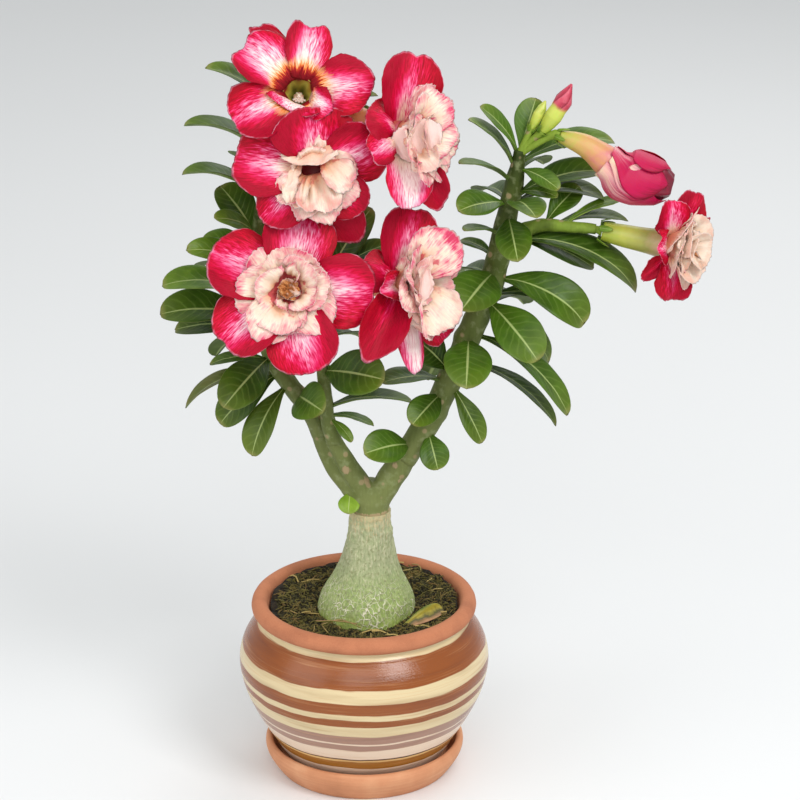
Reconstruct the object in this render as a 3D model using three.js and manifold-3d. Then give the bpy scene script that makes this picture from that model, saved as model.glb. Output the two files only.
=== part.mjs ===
// Potted desert rose: a grafted adenium in a banded earthenware pot that stands on its saucer.
// Units are millimetres and +Z is up. The origin is the middle of the saucer's underside.

import * as THREE from "three";
import { mergeVertices } from "three/addons/utils/BufferGeometryUtils.js";
import Module from "manifold-3d";

const wasm = await Module();
wasm.setup();

// ---------------------------------------------------------------- driving dimensions

const GAP = 0.3; // clear space between pieces that rest on or against each other

const SAUCER_HEIGHT = 16.4;
const SAUCER_LIP_RADIUS = 51.2;
const SAUCER_BASE_RADIUS = 43.5;
const SAUCER_FLOOR = 4;

const POT_FOOT_RADIUS = 38;
const POT_BELLY_RADIUS = 64.2;
const POT_NECK_RADIUS = 52.4;
const POT_RIM_RADIUS = 57.6;
const POT_MOUTH_RADIUS = 49.7;
const POT_TOP = 94;
const POT_FLOOR_TOP = 12;
const DRAIN_RADIUS = 5;

const SOIL_LEVEL = 85.6; // beside the trunk
const CAUDEX_BELLY_RADIUS = 24.3;
const CAUDEX_BOTTOM = 46;
const GRAFT_HEIGHT = 141.5;
const GRAFT_RADIUS = 10.5;
const GRAFT_OFFSET = 3.5; // the neck stands a little to the right of the pot's axis

const LEAF_THICKNESS = 1.1;
const PETAL_THICKNESS = 1.0;
const TUBE_MOUTH_RADIUS = 7.5;
// Radius along a tube of a flower, as shares of the radius at its mouth.
const TUBE_FLARE = [0.4, 0.5, 0.62, 0.75, 0.88, 1, 1];
const CALYX_RADIUS = 3.4;

const POT_SIDES = 32;
const SOIL_SIDES = 20;
const CAUDEX_SIDES = 20;
const STEM_SIDES = 8;
const STALK_SIDES = 6;

// ---------------------------------------------------------------- places on the plant

// The crown is set out as it is seen from in front and a little above: millimetres across and up
// from the crown's middle, and how far the point stands in front of the pot's axis.
const SIGHT_TILT = THREE.MathUtils.degToRad(20.8);
const SIGHT_DISTANCE = 1500;
const CROWN_MIDDLE = new THREE.Vector3(18.5, 0, 200.6);
const ACROSS = new THREE.Vector3(1, 0, 0);
const UP = new THREE.Vector3(0, Math.sin(SIGHT_TILT), Math.cos(SIGHT_TILT));
const TOWARDS = new THREE.Vector3(0, -Math.cos(SIGHT_TILT), Math.sin(SIGHT_TILT));

function place([across, up, front]) {
  const rise = up * Math.sin(SIGHT_TILT);
  const towards = (front + rise) / (Math.cos(SIGHT_TILT) + rise / SIGHT_DISTANCE);
  const scale = 1 - towards / SIGHT_DISTANCE;
  return CROWN_MIDDLE.clone()
    .addScaledVector(ACROSS, across * scale)
    .addScaledVector(UP, up * scale)
    .addScaledVector(TOWARDS, towards);
}

function heading([across, up, towards]) {
  return new THREE.Vector3()
    .addScaledVector(ACROSS, across)
    .addScaledVector(UP, up)
    .addScaledVector(TOWARDS, towards)
    .normalize();
}

// A repeatable stream of draws between -1 and 1.
function seeded(seed) {
  let state = seed;
  return () => {
    state = (state * 1664525 + 1013904223) % 4294967296;
    return (state / 4294967296) * 2 - 1;
  };
}

// ---------------------------------------------------------------- solids

function signedVolume(positions, faces) {
  const corner = (k) => new THREE.Vector3().fromArray(positions, faces[k] * 3);
  let total = 0;
  for (let k = 0; k < faces.length; k += 3) {
    total += corner(k).dot(corner(k + 1).cross(corner(k + 2)));
  }
  return total;
}

function solid(geometry) {
  const plain = geometry.clone();
  plain.deleteAttribute("normal");
  plain.deleteAttribute("uv");
  const merged = mergeVertices(plain, 1e-4);
  const positions = Float32Array.from(merged.attributes.position.array);
  const faces = [];
  for (let k = 0; k < merged.index.count; k += 3) {
    const [a, b, c] = [0, 1, 2].map((step) => merged.index.getX(k + step));
    if (a !== b && b !== c && c !== a) faces.push(a, b, c);
  }
  if (signedVolume(positions, faces) < 0) faces.reverse();
  const triVerts = Uint32Array.from(faces);
  return new wasm.Manifold(new wasm.Mesh({ numProp: 3, vertProperties: positions, triVerts }));
}

function joined(solids) {
  return wasm.Manifold.union(solids);
}

// The one body that the root belongs to: scraps that a cut leaves loose are dropped.
function largestBody(body) {
  const bodies = body.decompose();
  return bodies.reduce((best, next) => (next.volume() > best.volume() ? next : best));
}

function geometryOf(body) {
  const mesh = body.getMesh();
  const geometry = new THREE.BufferGeometry();
  geometry.setAttribute("position", new THREE.BufferAttribute(mesh.vertProperties, 3));
  geometry.setIndex(new THREE.BufferAttribute(mesh.triVerts, 1));
  return geometry;
}

function turned(profile, sides) {
  const points = profile.map(([radius, height]) => new THREE.Vector2(radius, height));
  return new THREE.LatheGeometry(points, sides).rotateX(Math.PI / 2);
}

// A round limb along a path. Radii are given at evenly spaced places from its root to its tip.
function limb(path, radii, { sides = STEM_SIDES, steps = 2 * (path.length - 1), swell = 0 } = {}) {
  const curve = new THREE.CatmullRomCurve3(path, false, "centripetal");
  const frames = curve.computeFrenetFrames(steps, false);
  const geometry = new THREE.CylinderGeometry(1, 1, 1, sides, steps);
  const position = geometry.attributes.position;
  for (let k = 0; k < position.count; k += 1) {
    const step = Math.round((position.getY(k) + 0.5) * steps);
    const along = (step / steps) * (radii.length - 1);
    const before = Math.min(Math.floor(along), radii.length - 2);
    const radius = THREE.MathUtils.lerp(radii[before], radii[before + 1], along - before) + swell;
    const point = curve
      .getPointAt(step / steps)
      .addScaledVector(frames.normals[step], position.getX(k) * radius)
      .addScaledVector(frames.binormals[step], -position.getZ(k) * radius);
    if (swell > 0 && step === 0) point.addScaledVector(frames.tangents[0], -swell);
    if (swell > 0 && step === steps) point.addScaledVector(frames.tangents[steps], swell);
    position.setXYZ(k, point.x, point.y, point.z);
  }
  return solid(geometry);
}

// ---------------------------------------------------------------- leaf and petal blades

// A blade runs from its root to its tip on an arched spine. A petal's grid fans out from the neck, so
// that its side edges and its round tip are one smooth outline. A leaf's rows narrow to a point at the
// tip. Both faces of a blade are split alike, and they meet in an edge. A swollen blade, which only
// cuts its neighbours clear, is a slab with blunt edges instead.
const WIDEST = 0.64; // share of a leaf's length at which it is widest
const HANDLE = 0.36; // length of the spine's handles as a share of the chord
const TIP_THINNING = 0.4; // share of the thickness that is lost towards the tip
const OTHER_EDGE = 2; // how far the second edge's ruffle runs ahead of the first one's, in radians

function petalSpread(v, neck) {
  return neck + (1 - neck) * Math.pow(Math.sin((v * Math.PI) / 2), 1.15);
}

function leafSpread(v, neck) {
  if (v > WIDEST) return Math.sqrt(1 - Math.pow((v - WIDEST) / (1 - WIDEST), 2));
  return neck + (1 - neck) * Math.pow(Math.sin((v / WIDEST) * (Math.PI / 2)), 1.5);
}

function blade(shape) {
  const { root, tip, face, width, neck = 0.25, shoulder = 0.42, thickness, swell = 0 } = shape;
  const { rise = 25, droop = 25, fold = 0, cup = 0, wave = 0, waves = 1, phase = 0, twist = 0 } = shape;
  const { cells = 4, rows = 3, pointed = false } = shape;
  const chord = tip.clone().sub(root);
  const length = chord.length() + 2 * swell;
  const ahead = chord.normalize();
  const start = root.clone().addScaledVector(ahead, -swell);
  const lift = face.clone().addScaledVector(ahead, -face.dot(ahead)).normalize();
  const side = ahead.clone().cross(lift).normalize();
  const leaning = (degrees) => {
    const angle = THREE.MathUtils.degToRad(degrees);
    return ahead.clone().multiplyScalar(Math.cos(angle)).addScaledVector(lift, Math.sin(angle));
  };
  const end = start.clone().addScaledVector(ahead, length);
  const spine = new THREE.CubicBezierCurve3(
    start,
    start.clone().addScaledVector(leaning(rise), length * HANDLE),
    end.clone().addScaledVector(leaning(-droop), -length * HANDLE),
    end,
  );
  const halfWidth = width / 2 + swell;
  const halfThickness = thickness / 2 + swell;
  const blunt = swell > 0;
  const positions = [];
  const vertex = (u, v, level) => {
    const bend = (u * Math.PI) / 2;
    const along = v * (1 - shoulder + shoulder * Math.cos(bend));
    const spread = pointed ? leafSpread(v, neck) : petalSpread(v, neck);
    const offset = halfWidth * spread * Math.sin(bend);
    const roll = THREE.MathUtils.degToRad(twist) * along;
    const tangent = spine.getTangent(along);
    const sideways = side.clone().applyAxisAngle(tangent, roll);
    const upright = sideways.clone().cross(tangent).normalize();
    const outwards = offset / (width / 2);
    const beat = Math.sin(2 * Math.PI * waves * v + phase + (u > 0 ? 0 : OTHER_EDGE));
    const ruffle = wave * outwards * outwards * v * beat;
    const height = fold * Math.abs(offset) + cup * offset * outwards + ruffle;
    const body = level * halfThickness * (blunt ? 1 : Math.sqrt(1 - u * u) * (1 - TIP_THINNING * v));
    const point = spine
      .getPoint(along)
      .addScaledVector(sideways, offset)
      .addScaledVector(upright, height + body);
    positions.push(point.x, point.y, point.z);
    return positions.length / 3 - 1;
  };
  const top = [];
  const bottom = [];
  for (let j = 0; j <= rows; j += 1) {
    top.push([]);
    bottom.push([]);
    for (let i = 0; i <= cells; i += 1) {
      const onEdge = !blunt && (i === 0 || i === cells || j === rows);
      const u = (2 * i) / cells - 1;
      const v = pointed ? 1 - Math.pow(1 - j / rows, 1.35) : j / rows;
      top[j].push(vertex(u, v, onEdge ? 0 : 1));
      bottom[j].push(onEdge ? top[j][i] : vertex(u, v, -1));
    }
  }
  const faces = [];
  for (let j = 0; j < rows; j += 1) {
    for (let i = 0; i < cells; i += 1) {
      const corners = (grid) => [grid[j][i], grid[j][i + 1], grid[j + 1][i + 1], grid[j + 1][i]];
      const [a, b, c, d] = corners(top);
      const [e, f, g, h] = corners(bottom);
      if (i < cells / 2) faces.push(a, b, d, b, c, d, e, h, f, f, h, g);
      else faces.push(a, b, c, a, c, d, e, g, f, e, h, g);
    }
  }
  const rim = [];
  for (let i = 0; i < cells; i += 1) rim.push([0, i]);
  for (let j = 0; j < rows; j += 1) rim.push([j, cells]);
  for (let i = cells; i > 0; i -= 1) rim.push([rows, i]);
  for (let j = rows; j > 0; j -= 1) rim.push([j, 0]);
  rim.forEach(([j, i], k) => {
    const [nextJ, nextI] = rim[(k + 1) % rim.length];
    faces.push(top[nextJ][nextI], top[j][i], bottom[j][i]);
    faces.push(top[nextJ][nextI], bottom[j][i], bottom[nextJ][nextI]);
  });
  const geometry = new THREE.BufferGeometry();
  geometry.setAttribute("position", new THREE.Float32BufferAttribute(positions, 3));
  geometry.setIndex(faces);
  return solid(geometry);
}

// ---------------------------------------------------------------- stems

// Paths are rows of across, up, front.
const OUTER_LIMB = [[-15, -52, 0], [-24, -43.5, -1], [-34.5, -29, -2], [-39.8, -16, -2]];
const OUTER_STEM = [
  [-39.8, -16, -2], [-45, -4.5, -2], [-54, 6, -3], [-62, 18, -4], [-69, 34, -5],
  [-72.5, 56, -6], [-71, 80, -5], [-67, 102, -4], [-62, 122, -3], [-56.5, 139, -2],
];
const INNER_LIMB = [[-14.5, -51, 2], [-22.5, -38, 4], [-28.5, -28.5, 5], [-33, -20, 6]];
const INNER_STEM = [
  [-33, -20, 6], [-36, -10, 8], [-37.5, 2, 9], [-38.5, 18, 8], [-39, 38, 6], [-38, 54, 4],
  [-37, 66, 3],
];
const RIGHT_LIMB = [[-14, -52, 0], [-8.5, -44.5, 0], [-1.5, -34, 0], [2.5, -28, 0]];
const RIGHT_STEM = [
  [2.5, -28, 0], [11, -16, 0], [17.5, -5, 0], [24.5, 10, 0], [32, 27, 0], [39, 43, 0],
  [46, 59, 0], [50.5, 77, 0], [54.5, 96, 0], [58, 112, 1], [60, 125, 2],
];
const SIDE_TWIG = {
  path: [[50.5, 79, 0], [60, 84, 2], [71, 87.5, 4], [85, 86.5, 6], [98, 85.5, 7]],
  radii: [4, 3.8, 3.2, 2.8, 2.4],
};
const SIDE_TWIG_LEAVES_FROM = 68; // leaves of the right stem that root beyond this grow on the twig

const STEMS = {
  outer: { path: OUTER_STEM, radii: [4.9, 4.7, 4.5, 4.3, 4.1, 4, 3.8, 3.6, 3.2, 2.4] },
  inner: { path: INNER_STEM, radii: [4.2, 3.6, 3.3, 3.2, 3.1, 3, 2.4] },
  right: { path: RIGHT_STEM, radii: [6.5, 6.4, 6.3, 6.2, 6.2, 6.1, 5.9, 5.6, 5.2, 4.4, 2.8] },
};

function along(path) {
  return path.map(place);
}

// A stem that goes on from another leaves the gap at the butt joint.
function stemBody({ path, radii }, swell) {
  const points = along(path);
  const onward = points[1].clone().sub(points[0]).normalize();
  points[0].addScaledVector(onward, GAP);
  return limb(points, radii, { swell, steps: Math.round(1.6 * path.length) });
}

// ---------------------------------------------------------------- leaves

// Each row is one leaf: root across, up; tip across, up, front; width; roll; droop. A leaf with no
// roll lies flat and is seen on edge, and one rolled by 90 degrees shows its whole upper face.
const OUTER_LEAVES = [
  [-57.5, 137, -97.5, 166, -6, 20, 22, 30],
  [-62.5, 117, -108, 137, 2, 21, 24, 35],
  [-67.5, 101, -109, 112.5, 2, 20, 24, 35],
  [-71, 80, -90, 107, -14, 20, 55, 20],
  [-71.5, 80, -93, 91, 22, 12, 60, 25],
  [-71.5, 75, -99, 79, -4, 14, 45, 25],
  [-72, 66, -107, 75, 16, 14, 60, 30],
  [-72.5, 53, -119, 57, 4, 20, 38, 30],
  [-72, 40, -120, 43, 2, 23, 46, 20],
  [-70, 36, -112.5, 35, -12, 18, 45, 20],
  [-60, 14, -107, -4, -10, 15, 30, 35],
  [-62, 20, -95, 18, -14, 10, 40, 20],
  [-63.5, 22, -88.5, -4, 30, 21, 82, 25],
  [-60, 14, -90, -12, 8, 18, 60, 25],
  [-55.5, 8, -74, -28, 16, 17, 38, 30],
  [-50, 2, -38, -6, 34, 21, 88, 20],
  [-56, 138, -11, 152, -8, 15, 25, 20],
  [-57, 134, -14, 145, -4, 12, 30, 20],
  [-70, 92, -50, 96, -38, 18, 20, 25],
  [-72, 62, -100, 66, -40, 18, 20, 25],
  [-73, 46, -72, 40, -50, 19, 20, 30],
  [-64, 112, -82, 122, -38, 17, 20, 25],
  [-60, 128, -48, 142, -36, 16, 20, 25],
  [-66, 30, -92, 22, -36, 18, 20, 30],
];
const INNER_LEAVES = [
  [-37.5, 14, -7.5, 10, 34, 24, 80, 25],
  [-37, -3, 6.5, -1.5, 12, 16, 22, 20],
  [-36, -6, -13, -13, 8, 10, 25, 15],
  [-38, 58, -14, 96, 0, 18, 55, 15],
  [-37.5, 60, -6, 78, -4, 14, 40, 15],
  [-38.5, 30, -14, 26, -36, 18, 20, 25],
  [-39, 44, -30, 48, -44, 18, 20, 25],
  [-37, 64, -40, 80, -34, 16, 20, 20],
  [-36.5, -8, -24, -21, 18, 6, 40, 20],
];
const RIGHT_LEAVES = [
  [5, -22, -18, -27, 24, 19, 74, 25],
  [22, 4, 6, -12.5, 22, 16, 76, 20],
  [14, -12, 19, -35, 14, 15, 84, 20],
  [27, 8, 41, -21.5, 10, 12, 62, 20],
  [22, 10, -9, 8.5, 16, 17, 26, 15],
  [24, 14, 7, 31, 6, 18, 60, 15],
  [35, 33, 33, 5.5, 36, 24, 86, 20],
  [44, 50, 69, 19.5, 30, 23, 74, 25],
  [44, 46, 74.5, 19, -8, 17, 50, 25],
  [36, 34, 84, -7.5, 10, 17, 34, 30],
  [30, 20, 78, -13, 4, 15, 26, 26],
  [48, 66, 30.5, 44.5, 34, 25, 78, 20],
  [48, 60, 92, 38, 14, 22, 52, 50],
  [44, 52, 88, 44, -12, 17, 38, 30],
  [52, 80, 118, 54, 12, 22, 36, 45],
  [58, 83, 97, 66, 4, 17, 50, 20],
  [53, 92, 59, 69, 34, 18, 86, 15],
  [55, 100, 68, 91, 36, 18, 40, 20],
  [54.5, 98, 29, 94.5, 18, 18, 48, 15],
  [57, 110, 29.5, 118, 14, 13, 20, 20],
  [58, 117, 34, 140, 6, 15, 32, 20],
  [59, 122, 40, 147, 2, 13, 34, 15],
  [60, 122, 68, 151, -8, 15, 72, 10],
  [60, 118, 107, 129, -16, 18, 32, 25],
  [56, 102, 102, 114.5, -4, 20, 34, 20],
  [55, 98, 102.5, 99.5, -8, 18, 26, 35],
  [59, 116, 79.5, 105, 16, 10, 60, 25],
  [57, 104, 79, 101.5, 10, 9, 45, 20],
  [50, 85, 32, 84.5, 18, 11, 24, 15],
  [49, 72, 30, 80, -12, 11, 28, 15],
  [38, 46, 62, 48, -38, 20, 20, 30],
  [46, 62, 26, 60, -36, 19, 20, 30],
  [50, 84, 66, 78, -40, 18, 20, 30],
  [55, 100, 40, 104, -38, 17, 20, 25],
  [58, 114, 72, 118, -36, 15, 20, 25],
  [28, 18, 14, 10, -38, 18, 20, 30],
  [72, 88, 90, 107, -6, 14, 50, 15],
  [80, 88, 115, 101, -6, 10, 20, 15],
  [76, 88, 114, 89.5, -10, 13, 24, 20],
  [70, 87, 78, 76, -30, 13, 20, 30],
];
const FORK_LEAF = [-24.5, -43, -26, -57, 12, 11, 74, 10];

const LEAF_FOLD = 0.38; // how steeply the two halves rise from the midrib
const ROOT_SINK = 0.75; // a leaf's root starts this share of the stem's radius off the stem's axis

// The point of a stem's axis that is seen nearest to a leaf's root.
function nearestOnStem(path, across, up) {
  const curve = new THREE.CatmullRomCurve3(along(path), false, "centripetal");
  const eye = CROWN_MIDDLE.clone().addScaledVector(TOWARDS, SIGHT_DISTANCE);
  const sight = place([across, up, 0]).sub(eye).normalize();
  let best = { distance: Infinity };
  const samples = 60;
  for (let k = 1; k <= samples; k += 1) {
    const point = curve.getPoint(k / samples);
    const distance = point.clone().sub(eye).cross(sight).length();
    if (distance < best.distance) best = { distance, point, share: k / samples };
  }
  return best;
}

function leafBlade(row, stem, swell) {
  const [rootAcross, rootUp, tipAcross, tipUp, tipFront, width, roll, droop] = row;
  const { point, share } = nearestOnStem(stem.path, rootAcross, rootUp);
  const tip = place([tipAcross, tipUp, tipFront]);
  const radius = stem.radii[Math.round(share * (stem.radii.length - 1))];
  const outward = tip.clone().sub(point).normalize();
  const root = point.clone().addScaledVector(outward, ROOT_SINK * radius);
  const angle = THREE.MathUtils.degToRad(roll);
  const face = heading([0, Math.cos(angle), Math.sin(angle)]);
  return blade({
    root, tip, face, width, swell, thickness: LEAF_THICKNESS, neck: 0.11, shoulder: 0, pointed: true,
    rise: 0.8 * droop + 5, droop, fold: LEAF_FOLD, cells: 2, rows: width > 16 && tipFront > -30 ? 4 : 3,
  });
}

// ---------------------------------------------------------------- blooms

// Each petal row: clock angle from the top, seen facing the bloom; reach from the throat's axis;
// lift of the tip in front of the throat; width; turn about its own length; droop. Where the throat
// is across, up and front, facing is across, up and towards the viewer.
const BLOOMS = {
  bloom_top: {
    stem: "outer", throat: [-50.5, 154, 20], facing: [0.05, 0.18, 1],
    stalk: [[-56.5, 138, -2], [-55.5, 143, -4], [-54.5, 147, -3]],
    petals: [
      [-49, 35, 3, 29, 12, 25], [11, 34, 0, 24, 12, 20], [84, 35, 3, 28, 12, 25],
      [140, 25, 8, 22, 12, 30], [258, 36, 5, 23, 12, 30], [-24, 40, -8, 15, 12, 10],
    ],
  },
  bloom_middle: {
    stem: "outer", throat: [-43.5, 115, 30], facing: [0.08, -0.15, 1],
    stalk: [[-62, 121, -3], [-56, 120, 2], [-51, 118, 4]],
    petals: [
      [2, 31, 5, 31, 12, 25], [274, 36, 2, 34, 12, 25], [74, 35, 3, 30, 12, 25],
      [126, 31, 3, 24, 12, 25], [222, 34, 2, 25, 12, 25], [148, 41, -9, 22, 12, -10],
    ],
    heart: [
      [-20, 15, 8, 18, 22, 20], [45, 17, 9, 19, 22, 20], [110, 16, 8, 18, 22, 25],
      [178, 24, 11, 30, 22, 30], [255, 17, 9, 18, 22, 20],
      [0, 7, 13, 12, 30, 10], [120, 7, 12, 11, 30, 10], [240, 8, 13, 12, 30, 10],
    ],
  },
  bloom_front: {
    stem: "inner", throat: [-55.5, 55, 40], facing: [0, 0.05, 1],
    stalk: [[-37.5, 62, 3], [-41, 61, 10], [-46, 58.5, 14]],
    petals: [
      [10, 40, 3, 37, 12, 25], [90, 42, 3, 37, 12, 25], [163, 42, 3, 36, 12, 25],
      [229, 42, 3, 33, 12, 25], [295, 42, 3, 35, 12, 25],
    ],
    heart: [
      [-40, 23, 9, 25, 22, 25], [25, 22, 9, 22, 22, 25], [78, 22, 10, 20, 22, 25],
      [135, 22, 9, 22, 22, 25], [195, 23, 10, 24, 22, 25], [260, 23, 9, 22, 22, 25],
      [-15, 13, 14, 15, 30, 15], [75, 13, 13, 15, 30, 15], [162, 12, 14, 15, 30, 15],
      [250, 13, 13, 15, 30, 15],
    ],
  },
  bloom_upper_side: {
    stem: "outer", throat: [1, 132, 24], facing: [0.85, -0.05, 0.5],
    stalk: [[-57.5, 136, -2], [-44, 143, 4], [-34, 145.5, 10]],
    petals: [
      [0, 40, 5, 29, -50, 15], [75, 36, 4, 28, 12, 25], [158, 37, 15, 27, 42, 15],
      [212, 32, 3, 22, 30, 20], [290, 24, -8, 24, 12, 35],
    ],
    heart: [
      [-6, 23, 19, 26, -32, 20], [50, 22, 21, 22, 22, 20], [110, 22, 20, 22, 22, 20],
      [172, 24, 20, 24, 34, 20], [232, 20, 22, 22, 22, 20], [290, 20, 22, 22, 22, 20],
      [20, 10, 25, 15, 30, 10], [140, 10, 24, 15, 30, 10], [260, 11, 25, 15, 30, 10],
    ],
  },
  bloom_lower_side: {
    stem: "inner", throat: [1, 57.5, 28], facing: [0.78, -0.02, 0.62],
    stalk: [[-37.2, 64, 3], [-32, 62, 8], [-27, 60.5, 12]],
    petals: [
      [0, 38, 6, 28, -45, 15], [80, 37, 3, 28, 12, 25], [132, 38, 7, 25, 12, 25],
      [174, 43, 9, 15, 30, 10], [208, 43, 0, 28, 38, 15], [282, 25, -7, 28, 12, 45],
    ],
    heart: [
      [-4, 29, 17, 27, -34, 20], [55, 23, 20, 22, 22, 20], [115, 23, 20, 22, 22, 20],
      [170, 27, 20, 25, 34, 20], [225, 23, 20, 24, 22, 20], [285, 21, 20, 24, 22, 20],
      [20, 11, 23, 16, 30, 10], [140, 12, 22, 16, 30, 10], [260, 13, 23, 16, 30, 10],
    ],
  },
  bloom_pale: {
    stem: "right", throat: [135.5, 77.5, 16], facing: [0.86, -0.2, 0.46],
    mouth: 7, flare: [0.66, 0.74, 0.8, 0.84, 0.9, 1, 1],
    stalk: [[95, 85.7, 6.5], [98, 85.3, 7], [101, 84.6, 7.5]],
    petals: [
      [325, 26, 2, 20, -35, 30], [10, 28, 6, 19, -30, 30], [62, 26, 8, 19, 12, 25],
      [125, 25, 7, 19, 12, 25], [172, 27, 4, 20, 32, 30], [205, 21, -8, 9, 30, 10],
      [250, 21, -4, 20, 12, 40],
    ],
    heart: [
      [-12, 18, 14, 19, -25, 30], [45, 17, 14, 17, 22, 30], [110, 17, 14, 17, 22, 30],
      [175, 18, 14, 19, 28, 30], [235, 17, 15, 18, 22, 30], [290, 16, 15, 17, 22, 30],
      [30, 8, 20, 13, 30, 20], [210, 8, 20, 13, 30, 20],
    ],
  },
};

function bloomFrame({ throat, facing }) {
  const forward = heading(facing);
  const upright = UP.clone().addScaledVector(forward, -UP.dot(forward)).normalize();
  const right = upright.clone().cross(forward);
  const origin = place(throat);
  const at = (clock, reach, lift) => {
    const angle = THREE.MathUtils.degToRad(clock);
    return origin
      .clone()
      .addScaledVector(upright, reach * Math.cos(angle))
      .addScaledVector(right, reach * Math.sin(angle))
      .addScaledVector(forward, lift);
  };
  return { origin, forward, at };
}

const SHORT_PETAL = 14; // petals that reach no farther than this have the coarsest grid
const LONG_PETAL = 30;

// Petals start deep in the throat, or in the heart's core, and each face leans in towards the axis.
function whorl(frame, petals, { start, depth, lean, wave, neck, rows, cells, swell, seed }) {
  const draw = seeded(seed);
  return petals.map(([clock, reach, lift, width, turn, droop]) => {
    const root = frame.at(clock, start, depth);
    const tip = frame.at(clock, reach, lift);
    const leaning = Math.tan(THREE.MathUtils.degToRad(turn));
    const sideways = frame.at(clock + 90, 1, 0).sub(frame.origin);
    const face = frame.forward.clone().addScaledVector(sideways, leaning);
    const most = reach > SHORT_PETAL ? 3 : 2;
    return blade({
      root, tip, face, width, thickness: PETAL_THICKNESS, swell, neck, shoulder: 0.4,
      rise: lean, droop, cup: 0.12, wave: wave * (1 + 0.3 * draw()), waves: 1.1, phase: 3 * draw(),
      rows, cells: reach > LONG_PETAL ? cells : Math.min(cells, most),
    });
  });
}

function tubePath(bloom) {
  const frame = bloomFrame(bloom);
  const stalkEnd = place(bloom.stalk.at(-1));
  const before = place(bloom.stalk.at(-2));
  const outward = stalkEnd.clone().sub(before).normalize();
  const length = frame.origin.distanceTo(stalkEnd);
  const curve = new THREE.CubicBezierCurve3(
    stalkEnd.clone().addScaledVector(outward, GAP),
    stalkEnd.clone().addScaledVector(outward, 0.35 * length),
    frame.origin.clone().addScaledVector(frame.forward, -0.4 * length),
    frame.origin,
  );
  return curve.getPoints(6);
}

function corolla(bloom, swell = 0) {
  const frame = bloomFrame(bloom);
  const mouth = bloom.mouth ?? TUBE_MOUTH_RADIUS;
  const radii = (bloom.flare ?? TUBE_FLARE).map((share) => share * mouth);
  const tube = limb(tubePath(bloom), radii, { swell, steps: 6 });
  const petals = whorl(frame, bloom.petals, {
    start: 2.5, depth: -1.8, lean: 38, wave: 1.2, neck: 0.26, rows: 3, cells: 4, swell, seed: 7,
  });
  return joined([tube, ...petals]);
}

const HEART_SEAT = 0.6; // the heart's core stands this far in front of the throat

function heart(bloom, swell = 0) {
  const frame = bloomFrame(bloom);
  const mouth = bloom.mouth ?? TUBE_MOUTH_RADIUS;
  const tallest = Math.max(...bloom.heart.map((row) => row[2]));
  const core = limb(
    [frame.at(0, 0, HEART_SEAT), frame.at(0, 0, 0.3 * tallest), frame.at(0, 0, 0.7 * tallest)],
    [0.45 * mouth, 0.85 * mouth, 0.4 * mouth],
    { swell, sides: STALK_SIDES, steps: 2 },
  );
  const petals = whorl(frame, bloom.heart, {
    start: 0.62 * mouth, depth: 4.2, lean: 48, wave: 1, neck: 0.1, rows: 2, cells: 3, swell, seed: 11,
  });
  return joined([core, ...petals]);
}

// The single bloom has an open funnel for a throat, with a small cone of stamens standing in it.
const FUNNEL_DEPTH = 13;

function funnel(bloom) {
  const frame = bloomFrame(bloom);
  return limb(
    [frame.at(0, 0, -FUNNEL_DEPTH), frame.at(0, 0, -4), frame.at(0, 0, 6)],
    [2.4, 5, 9.5],
    { steps: 4 },
  );
}

function stamens(bloom) {
  const frame = bloomFrame(bloom);
  const foot = -FUNNEL_DEPTH + GAP;
  return limb(
    [frame.at(0, 0, foot), frame.at(0, 0, foot + 4), frame.at(0, 0, foot + 9)],
    [1.9, 1.6, 0.4],
    { sides: STALK_SIDES, steps: 3 },
  );
}

// ---------------------------------------------------------------- buds

// A furled bud: overlapping petals wound into a spiral, shown as ridges on a spindle.
const BUDS = {
  bud_opening: {
    stem: "right", stalk: [[60, 123, 2], [70, 129, 5], [77.5, 132.7, 7], [80, 131.9, 8]],
    path: [
      [80, 131.9, 8], [93, 127, 10], [104, 119, 12], [112, 113, 13], [124, 110, 14], [136, 107, 15],
    ],
    radii: [3, 4.4, 5.4, 6.2, 7.4, 9, 13.5, 13.8, 10.5, 5.5, 0.8],
    winding: 1.1, ridges: 5, relief: 0.09,
  },
  bud_red: {
    stem: "right", stalk: [[60, 124, 2], [66, 130, 3], [70, 133.3, 4], [71.5, 134.6, 4.5]],
    path: [[71.5, 134.6, 4.5], [76.5, 141.5, 5.5], [81, 148.5, 6], [85.8, 158, 6]],
    radii: [2.4, 3.6, 4.3, 4, 4.3, 2.6, 0.5], winding: 0.9, ridges: 5, relief: 0.1,
  },
  bud_green: {
    stem: "right", stalk: [[60, 124, 2], [63, 130.5, 2], [65.2, 134.5, 2], [65.9, 135.8, 2]],
    path: [[65.9, 135.8, 2], [68.5, 141, 2], [72.8, 149.6, 2]],
    radii: [1.6, 2.5, 2.8, 2.2, 0.4], winding: 0.8, ridges: 5, relief: 0.08,
  },
};

const FURL_FROM = 0.4; // share of a bud's length where its tube ends and its spiral begins

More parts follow.
